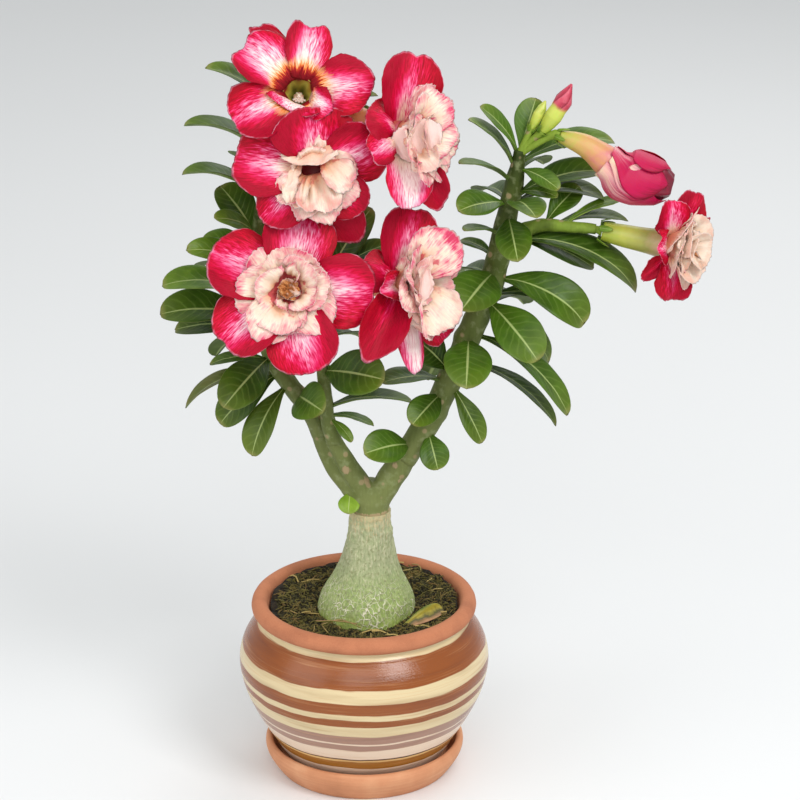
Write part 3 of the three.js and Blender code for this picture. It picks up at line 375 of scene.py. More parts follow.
def collar(gather, at, rim, inner=6.6, bulge=1.5, ruffle=1.0, fraying=0.5, phase=0.0, steps=180, rows=18,
           ember_and_shade=0.4, **traits):
    """A frilled ring of grown-together inner petals around a throat.

    rim is a row of clock angle, reach and lift that the margin runs through, and the ember value says
    how far the throat's orange brown creeps out over the ring. That brown is partly the throat's
    colour and partly painted shade where the ring dips into the throat."""
    turn = np.linspace(0, 2 * math.pi, steps, endpoint=False)
    marks = sorted((math.radians(clock % 360), reach, lift) for clock, reach, lift in rim)
    known = np.array([m[0] for m in marks])
    reach = np.interp(turn, known, [m[1] for m in marks], period=2 * math.pi)
    lift = np.interp(turn, known, [m[2] for m in marks], period=2 * math.pi)
    for _ in range(3):
        reach = (np.roll(reach, 1) + 2 * reach + np.roll(reach, -1)) / 4
        lift = (np.roll(lift, 3) + lift + np.roll(lift, -3)) / 3
    reach = reach + fraying * fray(turn, phase)
    share = np.linspace(0, 1, rows)[:, None]
    beat, swing = [
        wave(7 * turn + phase) + 0.7 * wave(12 * turn + 2.3 * phase) + 0.45 * wave(19 * turn + 4 * phase)
        for wave in (np.sin, np.cos)]
    radius = inner + (reach - inner) * share
    level = lift * np.sin(share * math.pi / 2) + bulge * np.sin(math.pi * share ** 1.3)
    level = level + ruffle * beat * share ** 1.4
    crumpled = creases(radius * np.cos(turn) / 4, radius * np.sin(turn) / 4, phase)
    level = level + 0.35 * ruffle * crumpled * share
    swayed = 0.9 * ruffle * swing[None, :] * share ** 2 / np.maximum(radius, 4)
    clock = np.degrees(turn)[None, :] + np.degrees(swayed)
    flat = np.array([[at(c, r, h) for c, r, h in zip(*row)] for row in zip(clock, radius, level)])
    forward = unit(at(0, 0, 1) - at(0, 0, 0))
    body = 0.4 * np.sqrt(1 - share ** 4)[..., None] * forward
    lobe = np.abs((turn / (2 * math.pi) * 6) % 1 - 0.5)
    over, under = (flat + body).reshape(-1, 3), (flat - body)[:-1].reshape(-1, 3)
    uv = np.stack([0.2 + 1.2 * lobe[None, :] + 0 * share, share + 0 * lobe[None, :]], -1)
    top = np.arange(rows * steps).reshape(rows, steps)
    low = np.vstack([rows * steps + np.arange((rows - 1) * steps).reshape(rows - 1, steps), top[-1:]])
    faces = between(low[0, 0], top[0, 0], steps)
    for j in range(rows - 1):
        faces += between(top[j, 0], top[j + 1, 0], steps)
        faces += between(low[j, 0], low[j + 1, 0], steps, inward=True)
    points = np.vstack([over, under])
    uvs = np.vstack([uv.reshape(-1, 2), uv[:-1].reshape(-1, 2)])
    # Throat brown near the throat, partly painted shade where the ring dips into it.
    warm = np.clip(ember_and_shade * 1.5 - 1.8 * uvs[:, 1], 0, 1)
    gather.take(points, uvs, faces, 0, warm=warm, **traits)


# ------------------------------------------------------------------ colours and nodes

PALETTE = {
    "deep": "#A40026", "crimson": "#C60034", "magenta": "#D8205C", "pink": "#E66A94", "blush": "#F0B4C4",
    "vein": "#D08098", "petal_rim": "#EE9CB4", "white": "#F6E0DC", "cream": "#F4DAB6",
    "magenta_tint": "#C8307A", "back": "#BE3A5E", "back_pale": "#DA8C98", "back_base": "#E2C4A4",
    # The bud's darkest crimson, at its petal ends, is partly painted shade in their folds.
    "back_edge": "#A82448", "bud_petal": "#B60A46", "bud_edge": "#78041E",
    "heart_light": "#EFDECA", "heart": "#E9CEB6", "heart_peach": "#E4B08A", "heart_deep": "#D8905E",
    "heart_shade": "#E9C8C0", "heart_pink": "#DC5E80", "heart_fleck": "#C21844", "heart_edge": "#F2E4DC",
    "throat": "#B8713C", "throat_dark": "#6E2E16", "throat_light": "#D99A62",
    "leaf_dark": "#1E3008", "leaf": "#324C0C", "leaf_fresh": "#4C6E16", "leaf_young": "#8AAA34",
    "leaf_vein": "#7A9244", "leaf_tip": "#76882A", "leaf_rib": "#AEBE78", "leaf_edge": "#8E8850",
    "leaf_flush": "#6E5A36", "under_dark": "#3E5020", "under": "#5C7034", "under_young": "#9AB450",
    "bark": "#78804A", "bark_green": "#5A682E", "stem": "#323F14", "stem_young": "#86A038",
    "bark_line": "#96967A", "scar": "#A08C68", "bark_blotch": "#8C9468",
    "caudex": "#9CA676", "caudex_grey": "#A6A684", "caudex_green": "#90A84E", "caudex_dust": "#D2CCAA",
    "caudex_speck": "#808458", "caudex_shade": "#7C8C60", "caudex_foot": "#A4B84E", "crack": "#EAE4CC",
    "graft": "#BEAC80",
    "clay": "#B46E4C", "clay_dark": "#8E4E34", "clay_light": "#D8966C", "brown": "#8C4A1A",
    "cream_paint": "#D8C49A", "mauve": "#A07A68", "pinkish": "#E4CCB4", "dark": "#43281A",
    "ochre": "#D8B070", "umber": "#9A6426", "stroke": "#C89464", "wash": "#A8865E",
    "saucer": "#CB8A62", "saucer_dark": "#B2734E", "saucer_light": "#DCA47C",
    "peat": "#261B0C", "peat_dark": "#080603", "moss_dark": "#2C2A10", "moss": "#625A24",
    "straw_brown": "#74582E", "straw": "#B8A060",
    "dry_green": "#52681C", "dry_yellow": "#A89A34", "dry_olive": "#4A4A1E", "dry_tan": "#A87E58",
}


def colour(code):
    """Linear colour of an sRGB hex code, or of a name in the palette."""
    code = PALETTE.get(code, code)
    channels = [int(code[k:k + 2], 16) / 255 for k in (1, 3, 5)]
    return tuple(c / 12.92 if c <= 0.04045 else ((c + 0.055) / 1.055) ** 2.4 for c in channels) + (1.0,)


def chosen(name):
    """The user's own colour of that name where the settings hold one, or else the palette's."""
    own = tuple(getattr(bpy.context.scene.desert_rose_colours, name, ()))
    return own or colour(name)


def every(size):
    """Scale of a pattern whose grain is so many mm across."""
    return 1 / (size * MM)


# Signs for the operations of the maths node, the setting that a node's mode stands for, and the
# output that a node stands for where it isn't the first live one.
SIGNS = {"+": "ADD", "-": "SUBTRACT", "*": "MULTIPLY", "/": "DIVIDE", "*+": "MULTIPLY_ADD"}
MODES = {
    "Math": "operation", "VectorMath": "operation", "Mix": "blend_type", "MapRange": "interpolation_type",
    "TexVoronoi": "feature", "Attribute": "attribute_name", "FunctionNodeRandomValue": "data_type",
}
READ = {"ShaderNodeAttribute": "Fac", "ShaderNodeTexCoord": "Object"}


def join(tree, value, socket):
    """Sets a socket, or links it to another one or to the output that a node stands for."""
    if isinstance(value, bpy.types.Node):
        wanted = READ.get(value.bl_idname)
        value = next(output for output in value.outputs if output.enabled and wanted in (None, output.name))
    if isinstance(value, bpy.types.NodeSocket):
        tree.links.new(value, socket)
    else:
        named = isinstance(value, str) and socket.type == "RGBA"
        socket.default_value = chosen(value) if named else value


def add(tree, kind, *values, stops=None, **settings):
    """Adds a node, with its mode after a space in kind, and joins its live inputs to the values.

    A sign or a word in capitals is a maths node. The values go in turn, or by name where a
    dictionary is given. stops fill a colour ramp."""
    kind = SIGNS.get(kind, kind)
    kind, _, mode = ("Math " + kind if kind.isupper() else kind).partition(" ")
    made = tree.nodes.new(kind if "Node" in kind else "ShaderNode" + kind)
    if kind == "Mix":
        made.data_type = "RGBA"
    for name, value in {**settings, **({MODES[kind]: mode} if mode else {})}.items():
        setattr(made, name, value)
    live = [socket for socket in made.inputs if socket.enabled]
    given = values[0] if values and isinstance(values[0], dict) else dict(enumerate(values))
    for key, value in given.items():
        join(tree, value, made.inputs[key] if isinstance(key, str) else live[key])
    if stops:
        ramp = made.color_ramp
        ramp.elements.remove(ramp.elements[1])
        for k, (position, code) in enumerate(stops.items()):
            stop = ramp.elements.new(position) if k else ramp.elements[0]
            stop.position, stop.color = position, chosen(code)
    return made


def started(name, **sockets):
    """A new material whose shader has those plain values, and a way to add nodes to its tree."""
    material = bpy.data.materials.new(name)
    material.use_nodes = True
    for key, value in sockets.items():
        material.node_tree.nodes["Principled BSDF"].inputs[key.replace("_", " ")].default_value = value
    return material, partial(add, material.node_tree)


def done(material, base, relief=None, strength=0.0, depth=0.0, **links):
    """Joins a material's colour, and a relief whose depth is in mm, to its shader."""
    tree = material.node_tree
    if relief:
        bump = {"Strength": strength, "Distance": depth * MM, "Height": relief}
        links["Normal"] = add(tree, "Bump", bump)
    for key, value in {"Base Color": base, **links}.items():
        join(tree, value, tree.nodes["Principled BSDF"].inputs[key])
    return material


# ------------------------------------------------------------------ materials

HALF_PETAL, PETAL_LENGTH = 15.0, 36.0  # mm: the usual outer petal, on which its streaks are sized
HALF_FLAP, FLAP_LENGTH = 10.0, 20.0  # mm: the usual inner petal, on which its veins are sized
LEAF_LENGTH = 40.0  # mm: the usual leaf, on which its side veins are spaced


def laid_flat(node):
    """How far across a blade, from -1 to 1, and how far along it, from 0 to 1."""
    spot = node("SeparateXYZ", node("UVMap"))
    return node("*+", spot, 2, -1), spot.outputs[1]


def drawn_out(node, wide, tall, detail):
    """Noise whose grain is so many mm wide all round the piece and so many mm tall."""
    scale = (every(wide), every(wide), every(tall))
    return node("TexNoise", node("VectorMath MULTIPLY", node("TexCoord"), scale), 1, detail)


def petal_face():
    """Living adenium petal, upper side: a white star on crimson, feathered along the veins.

    Petals are matt and a little translucent, so the eye sees soft colour and a faint satin gloss.
    The half that leads around the bloom is solid crimson, and the other is streaked to its edge."""
    material, node = started(
        "petal_living_satin", Roughness=0.52, Specular_IOR_Level=0.16, Subsurface_Weight=0.06,
        Subsurface_Scale=1.2 * MM, Subsurface_Radius=(1.0, 0.2, 0.2))
    across, length = laid_flat(node)
    seed, star, pale = [node("Attribute " + name) for name in ("seed", "warm", "tone")]

    def streaks(breadth, reach, detail):
        spun = node("CombineXYZ", node("*", across, HALF_PETAL / breadth),
                    node("*", length, PETAL_LENGTH / reach), seed)
        return node("-", node("TexNoise", spun, 1, detail), 0.5)

    broad, fine = streaks(2.143, 15, 2), streaks(0.4412, 4.235, 4)
    half = node("-", 1, node("POWER", length, 1.7))
    half = node("*+", half, 0.6, node("-", pale, 0.03))
    solid_side = node("*+", node("+", across, half), 4.4, node("*", broad, 1.4))
    solid_side = node("*+", fine, 2, solid_side)
    streaked_side = node("-", node("*", half, 1.2), across)
    streaked_side = node("*+", streaked_side, 2.5, node("*", broad, 1.8))
    mask = node("MINIMUM", solid_side, node("*+", fine, 3.8, streaked_side))
    body = node("ValToRGB", node("*+", mask, 0.3, 0.4), stops={
        0.0: "deep", 0.24: "crimson", 0.42: "magenta", 0.58: "pink", 0.78: "blush", 0.96: "white"})
    trailing = node("MapRange SMOOTHSTEP", across, -0.1, 0.7, 0, 0.5)
    body = node("Mix SOFT_LIGHT", trailing, body, "magenta_tint")
    cream = node("MapRange SMOOTHSTEP", length, 0.55, 0.15, 0, 0.8)
    body = node("Mix", node("*", cream, node("MapRange", mask, 0.3, 1.2)), body, "cream")
    throat = node("*+", fine, 0.34, node("*+", broad, 0.2, length))
    ring = node("ValToRGB", throat, stops={
        0.0: "#6E0A12", 0.14: "#8E0F1C", 0.19: "#B82A20", 0.24: "#EC8A40", 0.34: "#F8D090"})
    body = node("Mix", node("*", star, node("MapRange", throat, 0.38, 0.25)), body, ring)
    body = node("Mix MULTIPLY", node("MapRange", fine, 0.02, -0.16, 0, 0.5), body, "vein")
    rim = node("MAXIMUM", node("+", across, 0.004), node("+", length, 0.005))
    frayed = node("MapRange", broad, -0.1, 0.12, 0.12)
    rim = node("*", node("MapRange", rim, 0.972, 0.99, 0, 0.7), frayed)
    return done(material, node("Mix", rim, body, "petal_rim"), fine, strength=0.5, depth=0.7)


def petal_back():
    """Living adenium petal, under side: dusky rose that pales towards the base, with fine veins."""
    material, node = started(
        "petal_dusky_back", Roughness=0.45, Specular_IOR_Level=0.22, Subsurface_Weight=0.12,
        Subsurface_Scale=1.5 * MM)
    across, length = laid_flat(node)
    seed, pale, flushed = [node("Attribute " + name) for name in ("seed", "tone", "blush")]
    spun = node("CombineXYZ", node("*", across, HALF_PETAL / 0.9375),
                node("*", length, PETAL_LENGTH / 18), seed)
    veins = node("TexNoise", spun, 1.5, 3)
    share = node("*+", node("-", veins, 0.5), 0.5, length)
    share = node("*+", node("ABSOLUTE", across), 0.25, share)
    # Tone pales the back; on the opening bud's petals this is partly colour, partly a painted highlight.
    share = node("*+", node("MAXIMUM", pale, 0), -0.6, share)
    body = node("ValToRGB", share, stops={
        0.05: "back_base", 0.35: "back_pale", 0.7: "back", 1.0: "back_edge"})
    depth = node("MapRange SMOOTHSTEP", share, 0.26, 0.54)
    body = node("Mix", node("*", flushed, depth), body, "bud_petal")
    # Towards the bud petals' ends, dark crimson that is partly painted shade in the folds.
    edge = node("MapRange SMOOTHSTEP", share, 0.85, 1.15)
    body = node("Mix", node("*", flushed, edge), body, "bud_edge")
    return done(material, body, veins, strength=0.3, depth=0.4)


def heart_petal():
    """Inner petals of a double bloom: thin, crumpled and cream, with pink veins at their margins.

    blush says how pink the margin is, tone how rosy the whole petal is, and warm how much of the
    throat's orange brown there is. That brown and the deeper peach at each petal's root are partly
    the heart's own colour and partly painted shade deep in the heart."""
    material, node = started(
        "petal_heart_crepe", Roughness=0.55, Specular_IOR_Level=0.2, Subsurface_Weight=0.1,
        Subsurface_Scale=1.2 * MM, Subsurface_Radius=(1.0, 0.5, 0.35))
    across, length = laid_flat(node)
    place_of = node("TexCoord")
    seed, blush, warm, tone = [node("Attribute " + name) for name in ("seed", "blush", "warm", "tone")]
    spun = node("CombineXYZ", node("*", across, HALF_FLAP / 0.5882),
                node("*", length, FLAP_LENGTH / 5.556), seed)
    veins = node("TexNoise", spun, 1.3, 3)
    clouds = node("TexNoise", place_of, every(6.667), 3)
    cloudy = node("-", clouds, 0.5)
    # Deeper peach towards each petal's root: partly its colour, partly painted shade deep in the heart.
    base = node("ValToRGB", node("*+", cloudy, 0.9, length), stops={
        0.02: "heart_deep", 0.25: "heart_peach", 0.5: "heart", 0.75: "heart_light", 1.0: "heart"})
    base = node("Mix", tone, base, "heart_shade")
    rim = node("POWER", node("MAXIMUM", node("ABSOLUTE", across), length), 2.6)
    pink = node("*+", node("-", veins, 0.5), 1.9, node("*+", rim, 1.1, -0.3))
    pink = node("*", node("MAXIMUM", node("*+", cloudy, 2.6, pink), 0), blush)
    base = node("Mix", pink, base, "heart_pink")
    base = node("Mix", node("MapRange", pink, 0.75, 1.3, 0, 0.7), base, "heart_fleck")
    blots = node("+", node("TexNoise", place_of, every(4.348), 2), 0.16)
    splash = node("MapRange SMOOTHSTEP", node("*+", length, -0.9, blots), 0.34, 0.46, 0, 0.85)
    base = node("Mix", node("*", splash, node("MINIMUM", blush, 0.9)), base, "heart_fleck")
    # Orange brown where warm is high, near the throat: partly the throat's colour, partly painted shade.
    brown = node("ValToRGB", node("*+", cloudy, 0.8, veins), stops={
        0.3: "throat_dark", 0.5: "throat", 0.68: "throat_light"})
    ember_and_shade = node("MapRange SMOOTHSTEP", node("*+", cloudy, 0.8, warm), 0.1, 0.95)
    base = node("Mix", ember_and_shade, base, brown)
    base = node("Mix", node("MapRange", length, 0.965, 0.99, 0, 0.5), base, "heart_edge")
    return done(material, base, node("*+", clouds, 0.6, veins), strength=0.6, depth=0.7)


def throat_lining():
    """A bloom's open throat, waxy. A single bloom's is dark red at the mouth, then olive yellow, then
    painted shade; a double bloom's is crimson that darkens inwards as painted shade.
    """
    material, node = started("throat_waxy", Roughness=0.45, Specular_IOR_Level=0.3)
    spot = node("SeparateXYZ", node("UVMap"))
    five_lobes = node("SINE", node("*", spot, 10 * math.pi))
    share = node("*+", five_lobes, 0.14, spot.outputs[1])
    opened = node("ValToRGB", share, stops={
        0.0: "#8E0F1C", 0.26: "#7A0E16", 0.36: "#9A7A28", 0.6: "#B0A646", 1.0: "#6E6E2A"})
    # Double bloom: crimson at the mouth, darkening inwards as painted shade in the throat.
    doubled_crimson_and_shade = node("ValToRGB", share, stops={0.0: "#CE3A4A", 0.3: "#B8243A", 1.0: "#8A1C22"})
    return done(material, node("Mix", node("Attribute blush"), opened, doubled_crimson_and_shade))


def tube_skin(name, stops):
    """The flower's fleshy tube, smooth and slightly glossy, with faint clouds of colour."""
    material, node = started(name, Roughness=0.38, Subsurface_Weight=0.1, Subsurface_Scale=2 * MM)
    length = node("SeparateXYZ", node("UVMap")).outputs[1]
    clouds = node("-", node("TexNoise", node("TexCoord"), every(3.846), 2), 0.5)
    return done(material, node("ValToRGB", node("*+", clouds, 0.35, length), stops=stops))


def leaf_wax():
    """Waxy succulent leaf, upper side: deep green, pale midrib, faint side veins, thin pale edge."""
    material, node = started(
        "leaf_waxy_upper", Roughness=0.4, Specular_IOR_Level=0.22, Coat_Weight=0.04, Coat_Roughness=0.2)
    across, length = laid_flat(node)
    across = node("ABSOLUTE", across)
    seed, young, flushed = [node("Attribute " + name) for name in ("seed", "tone", "blush")]
    clouds = node("TexNoise", node("TexCoord"), every(8.333), 3)
    base = node("ValToRGB", node("*+", young, 0.62, node("*", clouds, 0.5)), stops={
        0.1: "leaf_dark", 0.3: "leaf", 0.6: "leaf_fresh", 0.95: "leaf_young"})
    fishbone = node("*+", clouds, 0.12, node("*+", across, -0.3, length))
    # Side veins 4.2 mm apart.
    fishbone = node("SINE", node("*+", fishbone, LEAF_LENGTH * math.pi / 4.189, seed))
    fishbone = node("POWER", node("ABSOLUTE", fishbone), 14)
    fishbone = node("*", fishbone, node("-", 1, across))
    base = node("Mix", node("*", fishbone, 0.3), base, "leaf_vein")
    base = node("Mix", node("MapRange", length, 0.62, 1.05, 0, 0.45), base, "leaf_tip")
    base = node("Mix", node("*", flushed, clouds), base, "leaf_flush")
    rib = node("-", across, node("*+", length, -0.03, 0.042))
    rib = node("MapRange SMOOTHSTEP", rib, 0.022, -0.012)
    base = node("Mix", node("*", rib, 0.75), base, "leaf_rib")
    rim = node("MapRange", node("MAXIMUM", across, length), 0.93, 0.985, 0, 0.55)
    sunk = node("-", node("*", fishbone, -0.6), rib)
    return done(material, node("Mix", rim, base, "leaf_edge"), node("*+", clouds, 0.5, sunk),
                strength=0.25, depth=0.5)


def leaf_underside():
    """Under side of the same leaf: matt, paler and greyer, with a pale midrib."""
    material, node = started("leaf_matt_under", Roughness=0.6, Specular_IOR_Level=0.15)
    across = node("ABSOLUTE", laid_flat(node)[0])
    clouds = node("TexNoise", node("TexCoord"), every(6.667), 3)
    shade = node("*+", node("Attribute tone"), 0.7, node("*", clouds, 0.5))
    base = node("ValToRGB", shade, stops={0.15: "under_dark", 0.45: "under", 0.9: "under_young"})
    rib = node("MapRange SMOOTHSTEP", across, 0.12, 0.03, 0, 0.6)
    return done(material, node("Mix", rib, base, "leaf_rib"))


def stem_bark():
    """Smooth green bark that greys lower down, with fine lengthwise lines and round leaf scars."""
    material, node = started("stem_green_bark", Roughness=0.6, Specular_IOR_Level=0.2)
    place_of = node("TexCoord")
    young, worn = [node("Attribute " + name) for name in ("tone", "warm")]
    lines = drawn_out(node, 1.111, 7.692, 4)
    clouds = node("-", node("TexNoise", place_of, every(11.11), 3), 0.5)
    height = node("MapRange", node("SeparateXYZ", place_of).outputs[2], 150 * MM, 340 * MM, 0, 0.6)
    share = node("+", node("*+", clouds, 0.5, height), young)
    base = node("ValToRGB", share, stops={0.0: "bark", 0.35: "bark_green", 0.65: "stem", 1.0: "stem_young"})
    base = node("Mix MULTIPLY", node("*", lines, 0.4), base, "bark_line")
    blotch = node("MapRange", node("TexNoise", place_of, every(3.846), 5), 0.52, 0.7, 0, 0.6)
    aged = node("MAXIMUM", node("*+", young, -2.2, 1), 0)
    base = node("Mix", node("*", blotch, aged), base, "bark_blotch")
    pitted = node("TexVoronoi", place_of, every(6.667))
    some = node("GREATER_THAN", node("SeparateXYZ", pitted.outputs["Color"]), 0.35)
    pit = node("*", node("MapRange", pitted, 0.26, 0.17, 0, 0.75), some)
    base = node("Mix", pit, base, "scar")
    ragged = node("*+", node("-", lines, 0.5), 0.9, worn)
    scar = node("MapRange", ragged, 0.35, 0.55)
    base = node("Mix", scar, base, "scar")
    return done(material, base, node("+", lines, scar), strength=0.4, depth=0.6)


def caudex_skin():
    """Corky skin of a swollen trunk: grey-green, split into a net of cream cracks lower down."""
    material, node = started("caudex_cracked_skin", Roughness=0.68)
    place_of = node("TexCoord")
    height = node("SeparateXYZ", place_of).outputs[2]
    warp = node("TexNoise", place_of, every(5.882), 2).outputs["Color"]
    drawn = node("VectorMath MULTIPLY_ADD", warp, (4.5 * MM,) * 3, place_of)
    drawn = node("VectorMath MULTIPLY", drawn, (1, 1, 0.72))
    net, small = [node("TexVoronoi DISTANCE_TO_EDGE", drawn, every(size)) for size in (3.03, 1.613)]
    clouds = node("TexNoise", place_of, every(13.33), 4)
    cloudy = node("-", clouds, 0.5)
    uneven = node("*+", cloudy, 30 * MM, height)
    low = node("MapRange SMOOTHSTEP", uneven, 118 * MM, 98 * MM)
    clear = node("MapRange SMOOTHSTEP", uneven, 83 * MM, 92 * MM)
    breadth = node("*+", cloudy, 0.2, node("*+", low, 0.07, -0.06))
    wide = node("MapRange", node("-", net, breadth), 0.045, 0)
    fine = node("MapRange", node("-", small, breadth), 0.03, -0.03, 0, 0.4)
    patchy = node("MapRange", node("TexNoise", place_of, every(9.091), 3), 0.36, 0.56, 0.25)
    cracks = node("*", node("*", node("MAXIMUM", wide, fine), patchy), clear)
    base = node("ValToRGB", node("*+", low, 0.4, node("*", clouds, 0.75)), stops={
        0.2: "caudex_grey", 0.5: "caudex", 0.9: "caudex_green"})
    flecks = drawn_out(node, 0.9091, 6.25, 3)
    base = node("Mix", node("MapRange", flecks, 0.48, 0.34, 0, 0.5), base, "caudex_shade")
    base = node("Mix", node("MapRange", flecks, 0.52, 0.66, 0, 0.42), base, "caudex_dust")
    foot = node("MapRange SMOOTHSTEP", node("*+", clouds, 12 * MM, height), 100 * MM, 90 * MM)
    base = node("Mix", node("*", foot, 0.7), base, "caudex_foot")
    base = node("Mix", node("*", cracks, 0.9), base, "crack")
    specks = node("TexNoise", place_of, every(1.613), 4)
    weathered = node("*", node("MapRange", specks, 0.54, 0.64, 0, 0.7), node("-", 1, foot))
    base = node("Mix", weathered, base, "caudex_speck")
    crusty = node("*+", node("-", flecks, 0.5), 30 * MM, height)
    crusty = node("*+", node("-", specks, 0.5), 30 * MM, crusty)
    base = node("Mix", node("MapRange", crusty, 133.5 * MM, 142.5 * MM, 0, 0.8), base, "graft")
    relief = node("*+", cracks, 0.8, node("+", flecks, specks))
    return done(material, base, relief, strength=0.6, depth=0.9)


# Top of each painted band on the pot, in mm above the surface it stands on, from the rim down.
BANDS = [
    (85.8, "cream_paint"), (81.6, "brown"), (69.2, "cream_paint"), (62.3, "brown"), (56.3, "cream_paint"),
    (53.2, "brown"), (49.2, "cream_paint"), (43.2, "mauve"), (37.9, "pinkish"), (36.8, "mauve"),
    (32.9, "pinkish"), (25.9, "dark"), (25.0, "ochre"), (23.7, "umber"), (18.4, "pinkish"),
]


def painted_clay():
    """Earthenware, hand painted in bands while it turned and then varnished, with a bare rim.

    The brush leaves fine rings of lighter and darker paint, and the varnish gives a clear gloss."""
    material, node = started("earthenware_painted_varnished", IOR=1.5)
    place_of = node("TexCoord")
    strokes, washes = drawn_out(node, 35.71, 0.6667, 3), drawn_out(node, 62.5, 5.556, 2)
    wobble = node("-", node("TexNoise", place_of, every(26.32), 2), 0.5)
    height = node("*+", wobble, 2.6 * MM, node("SeparateXYZ", place_of).outputs[2])
    height = node("*+", node("-", strokes, 0.5), 1.2 * MM, height)
    base = "clay"
    for top, name in BANDS:
        base = node("Mix", node("MapRange", height, (top + 0.25) * MM, (top - 0.15) * MM), base, name)
    on_paint = node("MapRange", height, 86.2 * MM, 85.2 * MM)
    bare = node("-", 1, on_paint)
    streak = node("*", node("MapRange", strokes, 0.55, 0.78, 0, 0.5), on_paint)
    base = node("Mix", streak, base, "stroke")
    darker = node("*", node("MapRange", washes, 0.5, 0.25, 0, 0.45), on_paint)
    base = node("Mix MULTIPLY", darker, base, "wash")
    # The clay's grit is finer than this, and is drawn as coarse as it needs to show.
    grit = node("TexNoise", place_of, every(0.7143), 3)
    stain = node("MapRange", node("TexNoise", place_of, every(16.67), 4), 0.46, 0.66, 0, 0.6)
    base = node("Mix", node("*", stain, bare), base, "clay_dark")
    base = node("Mix", node("*", node("*", grit, 0.35), bare), base, "clay_light")
    rough = node("*+", strokes, 0.2, node("*+", on_paint, -0.64, 0.76))
    relief = node("*+", grit, 0.4, strokes)
    return done(material, base, relief, strength=0.35, depth=0.4, Roughness=rough)


def bare_terracotta():
    """Bare wheel-thrown terracotta: matt, dusty, with faint throwing rings and pale bloom."""
    material, node = started("terracotta_bare", Roughness=0.8)
    place_of = node("TexCoord")
    rings = drawn_out(node, 50, 1.4286, 3)
    # The clay's grit is finer than this, and is drawn as coarse as it needs to show.
    grit = node("TexNoise", place_of, every(0.6667), 2)
    clouds = node("TexNoise", place_of, every(22.22), 5)
    base = node("ValToRGB", node("*+", node("-", rings, 0.5), 0.4, clouds), stops={
        0.25: "saucer_dark", 0.5: "saucer", 0.75: "saucer_light"})
    base = node("Mix", node("*", grit, 0.2), base, "saucer_light")
    return done(material, base, node("+", grit, rings), strength=0.3, depth=0.4)


def peat():
    """Damp peat under the moss: near black brown crumbs with olive patches."""
    material, node = started("peat_damp", Roughness=0.95)
    crumbs = node("TexNoise", node("TexCoord"), every(2.381), 5)
    base = node("ValToRGB", crumbs, stops={0.35: "peat_dark", 0.55: "peat", 0.75: "moss_dark"})
    return done(material, base, crumbs, strength=0.9, depth=2)


def moss_fibre():
    """Strands and flakes of moss, coir and straw, each of its own shade."""
    material, node = started("moss_and_straw", Roughness=0.85)
    return done(material, node("ValToRGB", node("Attribute shade"), stops={
        0.0: "peat_dark", 0.3: "peat", 0.52: "moss_dark", 0.72: "moss", 0.86: "straw_brown",
        0.97: "straw"}))


def dry_leaf():
    """A dead leaf that has curled: papery, green turning yellow, tan at its edge."""
    material, node = started("leaf_dead_papery", Roughness=0.6)
    clouds = node("-", node("TexNoise", node("TexCoord"), every(4.167), 4), 0.5)
    share = node("*+", clouds, 0.6, node("SeparateXYZ", node("UVMap")))
    return done(material, node("ValToRGB", share, stops={
        0.05: "dry_green", 0.35: "dry_yellow", 0.55: "dry_olive", 0.85: "dry_tan"}))


def plain_floor(shade):
    """Matt painted board that the pot stands on."""
    material, node = started("board_matt", Roughness=0.7)
    clouds = node("TexNoise", node("TexCoord"), every(333.3), 2)
    return done(material, node("Mix", node("*", clouds, 0.06), shade, "#C9CBC0"))


def bud_skin(name, furl, winding):
    """Skin of a furled bud: its fleshy tube, then petals with crimson edges over pale middles."""
    material, node = started(f"{name}_satin", Roughness=0.4, Subsurface_Weight=0.1, Subsurface_Scale=2 * MM)
    spot = node("SeparateXYZ", node("UVMap"))
    past = node("MAXIMUM", node("-", spot.outputs[1], furl), 0)
    step = node("FRACT", node("*+", past, -2.5 * winding, node("*", spot, 5)))
    clouds = node("TexNoise", node("TexCoord"), every(3.03), 3)
    petals = node("ValToRGB", node("*+", node("-", clouds, 0.5), 0.7, step), stops=(
        {0.0: "#B4BF52", 0.5: "#C6CC66", 1.0: "#A9B84A"} if name == "bud_green" else
        {0.0: "#CC5A6C", 0.4: "#BE3A52", 0.8: "#AC2C44", 1.0: "#8E1E34"}))
    tube_of = node("ValToRGB", spot.outputs[1], stops={0.0: "#A9BC42", 0.5: "#C4CC58"})
    share = node("MapRange SMOOTHSTEP", node("*+", clouds, 0.06, spot.outputs[1]), furl, furl + 0.1)
    return done(material, node("Mix", share, tube_of, petals))


MAKERS = {
    "petal": petal_face, "petal_back": petal_back, "heart": heart_petal, "throat": throat_lining,
    "tube": lambda: tube_skin("tube_orange_fleshy", {
        0.0: "#C3B45A", 0.25: "#D79A5E", 0.6: "#D98458", 0.85: "#C9735A", 1.0: "#C25468"}),
    "tube_pale": lambda: tube_skin("tube_pale_fleshy", {
        0.0: "#98A834", 0.3: "#AEB24A", 0.65: "#9A984C", 0.9: "#BE9E78", 1.0: "#CC9880"}),
    # The opening bud's core turns crimson, then near black red at its end: partly its colour, partly
    # painted shade inside the flared petal ends.
    "tube_bud": lambda: tube_skin("tube_bud_fleshy", {
        0.0: "#AEB04A", 0.14: "#C4A258", 0.34: "#CC8E62", 0.5: "#C8687C", 0.62: "#A81240", 1.0: "#6A0824"}),
    "leaf": leaf_wax, "underside": leaf_underside, "stem": stem_bark, "caudex": caudex_skin,
    "pot": painted_clay, "saucer": bare_terracotta, "peat": peat, "moss": moss_fibre, "dry_leaf": dry_leaf,
}
finishes = {}


def finish_of(name):
    """The material of that name, made when it is first asked for."""
    if name not in finishes:
        finishes[name] = MAKERS[name]()
    return finishes[name]


# ------------------------------------------------------------------ stems and leaves
# Paths are rows of across, up, front.

